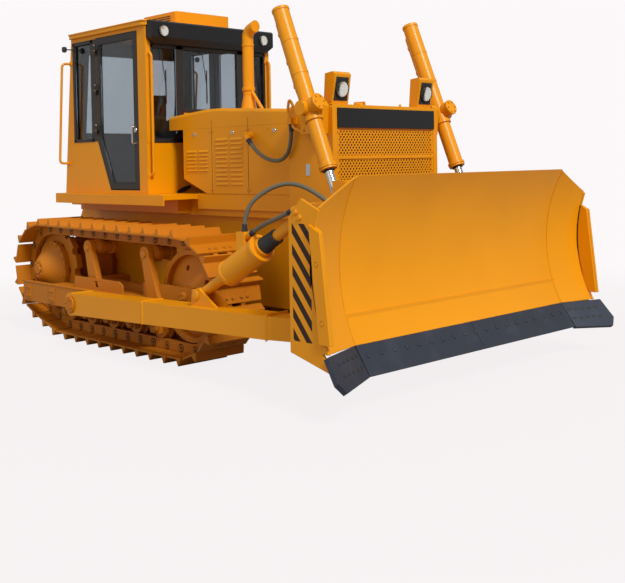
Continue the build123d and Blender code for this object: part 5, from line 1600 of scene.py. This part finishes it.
@dataclass
class Cab:
    """Window frames, rails, lamps, handles, wipers and controls of the cab."""

    shop: Workshop
    half: float = 0.752
    front_x: float = -0.690
    hinge_x: float = -1.546
    hinge_y: float = 0.768
    hinge_heights: tuple[float, ...] = (2.010, 2.400, 2.790)
    rear_rail: tuple[Spot, ...] = (
        (-2.120, 0.748, 1.690),
        (-2.125, 0.850, 1.690),
        (-2.035, 0.850, 2.700),
        (-2.030, 0.748, 2.700),
    )
    front_rail: tuple[Spot, ...] = (
        (-0.692, 0.719, 1.560),
        (-0.640, 0.719, 1.560),
        (-0.640, 0.719, 2.690),
        (-0.692, 0.719, 2.690),
    )

    def frames(self) -> None:
        """Black frames of the front and side windows."""
        x0, x1 = self.front_x - 0.002, self.front_x + 0.006
        black, posts = Shell(), Shell()
        black.block((x0, -0.700, 2.742), (x1, 0.700, 2.776))
        black.block((x0, -0.345, 2.150), (x1, 0.345, 2.186))
        for side in Side:
            sign = side.sign
            y0, y1 = side.span(0.699, self.half - 0.001)
            posts.block((x0, y0, 1.862), (x1 - 0.001, y1, 2.776))
            for first, second in ((0.330, 0.412), (0.676, 0.700)):
                y0, y1 = side.span(first, second)
                black.block((x0, y0, 1.868), (x1, y1, 2.776))
            y0, y1 = side.span(0.345, 0.700)
            black.block((x0, y0, 1.862), (x1, y1, 1.900))
            corner = [(x0, sign * y, z) for y, z in ((0.405, 1.895), (0.470, 1.895), (0.405, 1.960))]
            black.prism(corner, (x1 - x0, 0, 0))
            corner = [(x0, sign * y, z) for y, z in ((0.677, 1.895), (0.640, 1.895), (0.677, 1.932))]
            black.prism(corner, (x1 - x0, 0, 0))
            y0, y1 = side.span(self.half - 0.002, self.half + 0.005)
            for rear, front, low, high in (
                (-1.990, -1.955, 1.900, 2.900),
                (-1.645, -1.547, 1.900, 2.905),
                (-1.990, -1.600, 1.895, 1.928),
                (-1.990, -1.600, 2.868, 2.905),
            ):
                black.block((rear, y0, low), (front, y1, high))
            y0, y1 = side.span(self.half - 0.004, 0.769)
            for z in self.hinge_heights:
                black.block((-1.5975, y0, z - 0.0465), (self.hinge_x, y1, z - 0.0005))
                line = sign * self.hinge_y
                black.rod((self.hinge_x, line, z - 0.0465), (self.hinge_x, line, z - 0.0005), 0.0136, 16)
        black.piece("window_frames", "machine", self.shop.palette.frame, Slot.BLACK, 0.003)
        posts.piece("front_posts", "machine", *self.shop.yellow, bevel=0.002)

    def rails(self) -> None:
        """Grab rails at the corners and their feet."""
        rails, feet, knobs = Shell(), Places(), Shell()
        for side in Side:
            sign = side.sign
            for corners in (self.rear_rail, self.front_rail):
                rails.tube([(x, sign * y, z) for x, y, z in corners], 0.0125, 0.045, 12)
                for end, inner in ((corners[0], corners[1]), (corners[-1], corners[-2])):
                    out = Vector((inner[0] - end[0], sign * (inner[1] - end[1]), 0)).normalized()
                    feet.add(Vector((end[0], sign * end[1], end[2])) + out * 0.003, out)
            knob = Vector((-1.985, sign * 0.752, 2.840))
            knobs.rod(knob, knob + Vector((-0.02, sign * 0.085, 0.0)), 0.006, 10)
            knobs.lathe(knob + Vector((-0.02, sign * 0.085, -0.03)), (0, 0, 1),
                        ((0, 0.010), (0.006, 0.022), (0.030, 0.026), (0.054, 0.022), (0.060, 0.0)), 20)
        rails.piece("grab_rails", "machine", *self.shop.yellow)
        knobs.piece("corner_markers", "machine", self.shop.palette.frame, Slot.BLACK)
        foot = Shell().lathe((0, 0, 0), (0, 0, 1), ((0, 0.028), (0.006, 0.028), (0.006, 0.0)), 20)
        self.shop.copies.set("rail_feet", "machine", feet, foot, self.shop.yellow)

    def outside(self) -> None:
        """Visor lamps, roof rim and bolts, painted shade in the roof vents and hand holes, hand-hole rims
        and wipers.
        """
        for side in Side:
            spot = (-0.6005, side.sign * 0.605, 2.892)
            lamp(self.shop, f"visor_lamp_{side.label}", spot, (1, 0, 0), 0.056, "machine")
        low, high = (Vector(corner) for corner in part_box("cab_roof"))
        rim = Shell()
        inset = 0.055
        corners = [(low.x, low.y), (high.x, low.y), (high.x, high.y), (low.x, high.y)]
        loop = [((corners[0][0] + corners[1][0]) / 2, low.y), *corners[1:], corners[0],
                ((corners[0][0] + corners[1][0]) / 2 - 0.001, low.y)]
        rim.tube([(x, y, high.z - 0.006) for x, y in loop], 0.007, inset, 8)
        rim.piece("roof_rim", "machine", *self.shop.yellow)
        unit_low, unit_high = (Vector(corner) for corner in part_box("roof_unit"))
        # Dark strips on the roof unit's sides: painted shade in its vent slots.
        vent_shades, bolts = Shell(), Places()
        for step in range(6):
            z = unit_low.z + 0.045 + 0.020 * step
            for y in (unit_low.y, unit_high.y):
                vent_shades.block((unit_low.x + 0.10, y - 0.002, z), (unit_high.x - 0.10, y + 0.002, z + 0.009))
        vent_shades.piece("roof_vents", "machine", *self.shop.dark)
        for y in (unit_low.y + 0.04, unit_high.y - 0.04):
            first = (unit_low.x + 0.06, y, unit_high.z - 0.008)
            last = (unit_high.x - 0.06, y, unit_high.z - 0.008)
            bolts.row(first, last, 5, (0, 0, 1))
        self.shop.bolts.set("roof_bolts", "machine", bolts, (0.006, 0.005), self.shop.yellow)
        # Hand holes: cab-yellow rims round dark ellipses, which are painted shade in place of the open
        # holes.
        holes, rims = Shell(), Shell()
        for side in Side:
            middle_y, lean = side.sign * 0.347, -side.sign * 0.31
            for shell, wide, tall, out in ((rims, 0.100, 0.036, 0.003), (holes, 0.086, 0.024, 0.005)):
                outline = []
                for step in range(24):
                    angle = 2 * math.pi * step / 24
                    y, z = wide * math.cos(angle), tall * math.sin(angle)
                    outline.append((self.front_x - 0.001, middle_y + y, 1.420 + z + y * lean))
                shell.prism(outline, (out, 0, 0))
        rims.piece("hand_hole_rims", "machine", self.shop.palette.cab, Slot.PAINT)
        holes.piece("hand_holes", "machine", *self.shop.dark)
        wipers = Shell()
        for y, reach in ((-0.10, 0.34), (0.58, 0.36), (-0.58, 0.36)):
            wipers.rod((-0.694, y, 2.745), (-0.698, y + 0.06, 2.745 - reach), 0.004, 8)
            low_z, high_z = 2.745 - reach - 0.16, 2.745 - reach + 0.16
            wipers.block((-0.706, y + 0.056, low_z), (-0.697, y + 0.064, high_z))
        wipers.piece("wipers", "machine", self.shop.palette.frame, Slot.BLACK)

    def doors(self) -> None:
        """Handles, locks, seals and hinge pins of the doors."""
        for side in Side:
            sign = side.sign
            y = sign * (self.half + 0.002)
            out = Vector((0, sign, 0))
            body = f"door_{side.label}"
            handle = Shell()
            lock = ((0, 0.022), (0.010, 0.022), (0.016, 0.014), (0.016, 0.0))
            handle.lathe((-0.862, y, 1.985), out, lock, 20)
            handle.tube(
                ((-0.862, y, 2.02), (-0.862, y + sign * 0.045, 2.02), (-0.862, y + sign * 0.045, 1.86),
                 (-0.862, y, 1.86)), 0.009, 0.02, 10
            )
            for z in self.hinge_heights:
                line = sign * self.hinge_y
                handle.rod((self.hinge_x, line, z + 0.046), (self.hinge_x, line, z + 0.056), 0.010, 12)
            handle.piece(f"{body}_handle", body, *self.shop.chrome)
            seal = Shell()
            line = ((-1.486, 1.930), (-1.284, 1.490), (-0.890, 1.490), (-0.890, 2.845), (-1.480, 2.845))
            path = [(x, y - sign * 0.004, z) for x, z in (*line, line[0])]
            seal.tube(path, 0.006, 0.02, 8)
            seal.piece(f"{body}_seal", body, *self.shop.dark)

    def controls(self) -> None:
        """Dials and levers in front of the seat, and its pedestal."""
        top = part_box("console")[1][2]
        dials, faces, levers = Shell(), Shell(), Shell()
        for y in (-0.24, -0.12, 0.0, 0.12, 0.24):
            spot, out = Vector((-0.93, y, top - 0.038)), Vector((-0.20, 0, 0.98))
            dials.ring(spot, out, 0.036, 0.044, 0.010)
            faces.lathe(spot, out, ((0.002, 0.036), (0.004, 0.036), (0.004, 0.0)), 20)
        dials.piece("dial_rims", "machine", *self.shop.chrome)
        faces.piece("dial_faces", "machine", self.shop.palette.frame, Slot.BLACK)
        for y, x in ((-0.33, -1.20), (-0.28, -1.20), (0.28, -1.20), (0.33, -1.22)):
            levers.tube(((x - 0.05, y, 1.435), (x, y, 1.75), (x - 0.06, y, 2.02)), 0.009, 0.05, 10)
            knob = ((0, 0.012), (0.02, 0.022), (0.05, 0.020), (0.06, 0.0))
            levers.lathe((x - 0.06, y, 2.00), (-0.2, 0, 1), knob, 16)
        levers.block((-1.30, -0.37, 1.432), (-1.16, -0.24, 1.50))
        levers.block((-1.30, 0.24, 1.432), (-1.16, 0.37, 1.50))
        levers.piece("levers", "machine", self.shop.palette.frame, Slot.BLACK, 0.002)

    def build(self) -> None:
        """Dress the cab."""
        self.frames()
        self.rails()
        self.outside()
        self.doors()
        self.controls()


@dataclass
class OperatorSeat:
    """Padded seat on its pedestal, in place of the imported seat."""

    shop: Workshop
    swell: float = 0.022

    def cushion(self, name: str, low: Spot, high: Spot, push: float) -> bpy.types.Object:
        """Make one padded cushion by letting its cover swell.

        Args:
            name: Its name.
            low: Lowest corner before it swells.
            high: Highest corner.
            push: How far its cover may move.

        Returns:
            The cushion.
        """
        item = bpy.data.objects.new(name, Shell().block(low, high).data(name))
        bpy.context.scene.collection.objects.link(item)
        remesh = item.modifiers.new("voxels", "REMESH")
        remesh.mode = "VOXEL"
        remesh.voxel_size = 0.009
        graph = bpy.context.evaluated_depsgraph_get()
        dense = bpy.data.meshes.new_from_object(item.evaluated_get(graph))
        item.modifiers.clear()
        item.data = dense
        rest = [vertex.co.copy() for vertex in dense.vertices]
        cloth = item.modifiers.new("cover", "CLOTH")
        cloth.settings.use_pressure = True
        cloth.settings.uniform_pressure_force = 4.0
        cloth.settings.effector_weights.gravity = 0.0
        for step in range(1, 21):
            bpy.context.scene.frame_set(step)
        graph = bpy.context.evaluated_depsgraph_get()
        swollen = bpy.data.meshes.new_from_object(item.evaluated_get(graph))
        for vertex, start in zip(swollen.vertices, rest):
            move = vertex.co - start
            if move.length > push:
                vertex.co = start + move.normalized() * push
        item.modifiers.clear()
        item.data = swollen
        bpy.context.scene.frame_set(1)
        mesh = item.data
        bpy.data.objects.remove(item)
        pad = placed(mesh, name, "machine", self.shop.palette.cloth, Slot.CLOTH)
        smooth = pad.modifiers.new("smooth", "SUBSURF")
        smooth.levels = smooth.render_levels = 1
        return pad

    def build(self) -> None:
        """Build the seat."""
        low, high = (Vector(corner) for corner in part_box("operator_seat"))
        base = Shell()
        base.block((low.x + 0.16, -0.15, low.z), (high.x - 0.08, 0.15, low.z + 0.10))
        base.block((low.x + 0.20, -0.11, low.z + 0.10), (high.x - 0.12, 0.11, low.z + 0.27))
        base.block((low.x + 0.10, -0.21, low.z + 0.27), (high.x - 0.01, 0.21, low.z + 0.335))
        for sign in (-1, 1):
            rest = ((0.12, 0.32), (0.05, 0.62), (0.33, 0.64))
            base.tube([(low.x + x, sign * 0.215, low.z + z) for x, z in rest], 0.014, 0.05, 10)
        seat = base.piece("seat_base", "machine", self.shop.palette.frame, Slot.CLOTH, 0.006)
        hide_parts("operator_seat")
        corners = (low.x + 0.12, -0.205, low.z + 0.345), (high.x - 0.03, 0.205, low.z + 0.435)
        self.cushion("seat_cushion", *corners, self.swell)
        corners = (low.x + 0.03, -0.195, low.z + 0.455), (low.x + 0.115, 0.195, high.z - 0.03)
        self.cushion("back_cushion", *corners, self.swell)


@dataclass
class RearFittings:
    """Tank cap, straps, tail lamps, pin and covers behind the cab."""

    shop: Workshop

    def build(self) -> None:
        """Dress the rear."""
        low, high = (Vector(corner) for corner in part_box("fuel_tank"))
        trim, bolts = Shell(), Places()
        cap = ((0, 0.052), (0.03, 0.052), (0.036, 0.044), (0.036, 0.0))
        trim.lathe((-2.33, 0.36, high.z - 0.004), (0, 0, 1), cap)
        for y in (-0.36, 0.0, 0.36):
            trim.block((low.x - 0.004, y - 0.025, low.z + 0.02), (low.x + 0.004, y + 0.025, high.z - 0.13))
            for z in (low.z + 0.06, high.z - 0.17):
                bolts.add((low.x - 0.004, y, z), (-1, 0, 0))
        case_low = Vector(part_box("rear_case")[0])
        trim.lathe((case_low.x + 0.002, 0.0, 0.80), (-1, 0, 0),
                   ((0, 0.15), (0.014, 0.15), (0.020, 0.11), (0.034, 0.10), (0.034, 0.0)), 40)
        bolts.circle((case_low.x - 0.012, 0.0, 0.80), (-1, 0, 0), 0.130, 10)
        for y in (-0.33, 0.33):
            bolts.row((case_low.x, y, 0.62), (case_low.x, y, 1.04), 4, (-1, 0, 0))
        trim.rod((-2.635, 0.0, 0.46), (-2.635, 0.0, 0.60), 0.025, 20)
        trim.ring((-2.635, 0.0, 0.580), (0, 0, 1), 0.024, 0.042, 0.012)
        trim.piece("rear_trim", "machine", *self.shop.yellow, bevel=0.003)
        self.shop.bolts.set("rear_bolts", "machine", bolts, (0.010, 0.009), self.shop.yellow)
        for side in Side:
            spot = (low.x - 0.001, side.sign * 0.46, low.z + 0.30)
            lamp(self.shop, f"tail_lamp_{side.label}", spot, (-1, 0, 0), 0.040, "machine")


@dataclass
class Hoses:
    """The hydraulic hoses along their real routes, with their swaged ends."""

    shop: Workshop
    thickness: float = 0.032

    def lead(self, node: str, corners: Sequence[Spot], body: str) -> None:
        """Lead one hose.

        Args:
            node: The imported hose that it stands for.
            corners: Corners of its line.
            body: The body that it rides on.
        """
        data = bpy.data.curves.new(f"{node}_line", "CURVE")
        data.dimensions = "3D"
        data.bevel_depth = self.thickness / 2
        data.bevel_resolution = 5
        data.resolution_u = 12
        data.use_fill_caps = True
        line = data.splines.new("NURBS")
        line.points.add(len(corners) - 1)
        for point, spot in zip(line.points, corners):
            point.co = (*spot, 1.0)
        line.order_u = 3
        line.use_endpoint_u = True
        data.materials.append(self.shop.palette.hose)
        item = bpy.data.objects.new(f"{node}_line", data)
        bpy.context.scene.collection.objects.link(item)
        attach(item, body)
        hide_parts(node)
        ends = Shell()
        for end, inner in ((corners[0], corners[1]), (corners[-1], corners[-2])):
            axis = (Vector(inner) - Vector(end)).normalized()
            profile = ((0.0, 0.0168), (0.0, 0.0195), (0.034, 0.0195), (0.038, 0.0168))
            ends.lathe(Vector(end) + axis * 0.018, axis, profile, 20)
            ends.lathe(Vector(end), axis, ((0.0, 0.0165), (0.0, 0.023), (0.016, 0.023), (0.016, 0.0165)), 6)
        ends.piece(f"{node}_ends", body, self.shop.palette.edge, Slot.RUBBER, 0.001)

    def build(self) -> None:
        """Lead all four hoses."""
        lift = ((0.535, 0.560, 1.852), (0.640, 0.575, 1.755), (0.860, 0.612, 1.672),
                (1.075, 0.650, 1.672), (1.190, 0.668, 1.792), (1.190, 0.668, 1.955))
        for side in Side:
            corners = [(x, side.sign * y, z) for x, y, z in lift]
            self.lead(f"hose_lift_{side.label}", corners, "machine")
        arch = ((1.390, -1.330, 1.160), (1.390, -1.330, 1.326), (1.500, -1.200, 1.470),
                (1.690, -1.110, 1.520), (1.900, -1.010, 1.400), (2.050, -0.960, 1.230),
                (2.170, -0.930, 1.060))
        self.lead("hose_tilt_arch", arch, "blade")
        link = ((1.490, -1.352, 1.150), (1.640, -1.385, 1.215), (1.820, -1.400, 1.270),
                (1.990, -1.400, 1.330))
        self.lead("hose_tilt_link", link, "blade")


@dataclass
class BladeLips:
    """Lips that close the blade's cheeks out to the bolted strips."""

    shop: Workshop
    outer_y: float = 1.595
    thickness: float = 0.020

    def build(self) -> None:
        """Build both lips."""
        lips = Shell()
        line = ((2.470, 0.505), (2.395, 0.700), (2.346, 0.950), (2.360, 1.150), (2.372, 1.262),
                (2.420, 1.236), (2.455, 1.210), (2.535, 0.505))
        for side in Side:
            sign = side.sign
            corners = [(x, sign * (self.outer_y - self.thickness), z) for x, z in line]
            lips.prism(corners, (0, sign * self.thickness, 0))
        lips.piece("blade_lips", "blade", *self.shop.yellow, bevel=0.002)


def dress_nodes(palette: Palette) -> None:
    """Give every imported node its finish.

    Args:
        palette: The finishes.
    """
    special = {
        "yellow_paint": palette.paint,
        "track_paint": palette.running,
        "edge_steel": palette.edge,
        "chrome": palette.chrome,
        "glass": palette.glass,
        "black_paint": palette.black,
        "seat_cloth": palette.cloth,
        "grey_plastic": palette.plastic,
        "engine_grey": palette.engine,
        "hose_rubber": palette.hose,
    }
    for node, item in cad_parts.items():
        dress(node, special[item.data.materials[0].name.split(".")[0]])
    for node in ("bottom_rollers", "carrier_rollers", "idlers", "sprockets", "track_frame_right",
                 "track_frame_left", "cross_members", "final_drives"):
        dress(node, palette.running)
    dress("blade", palette.blade)
    dress("cab_shell", palette.cab)
    for side in Side:
        dress(f"door_{side.label}", palette.frame)


ASSEMBLIES = (
    TrackChains,
    RunningGear,
    BladeFittings,
    BladeLips,
    LiftCylinders,
    EngineHousing,
    Cab,
    OperatorSeat,
    RearFittings,
    Hoses,
)


def main() -> None:
    """Build everything round the frame."""
    logging.basicConfig(level=logging.INFO, format="%(message)s")
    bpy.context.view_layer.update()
    palette = Palette()
    Studio().build()
    dress_nodes(palette)
    shop = Workshop(palette)
    for assembly in ASSEMBLIES:
        LOG.info("Building %s", assembly.__name__)
        assembly(shop).build()


if __name__ == "__main__":
    main()
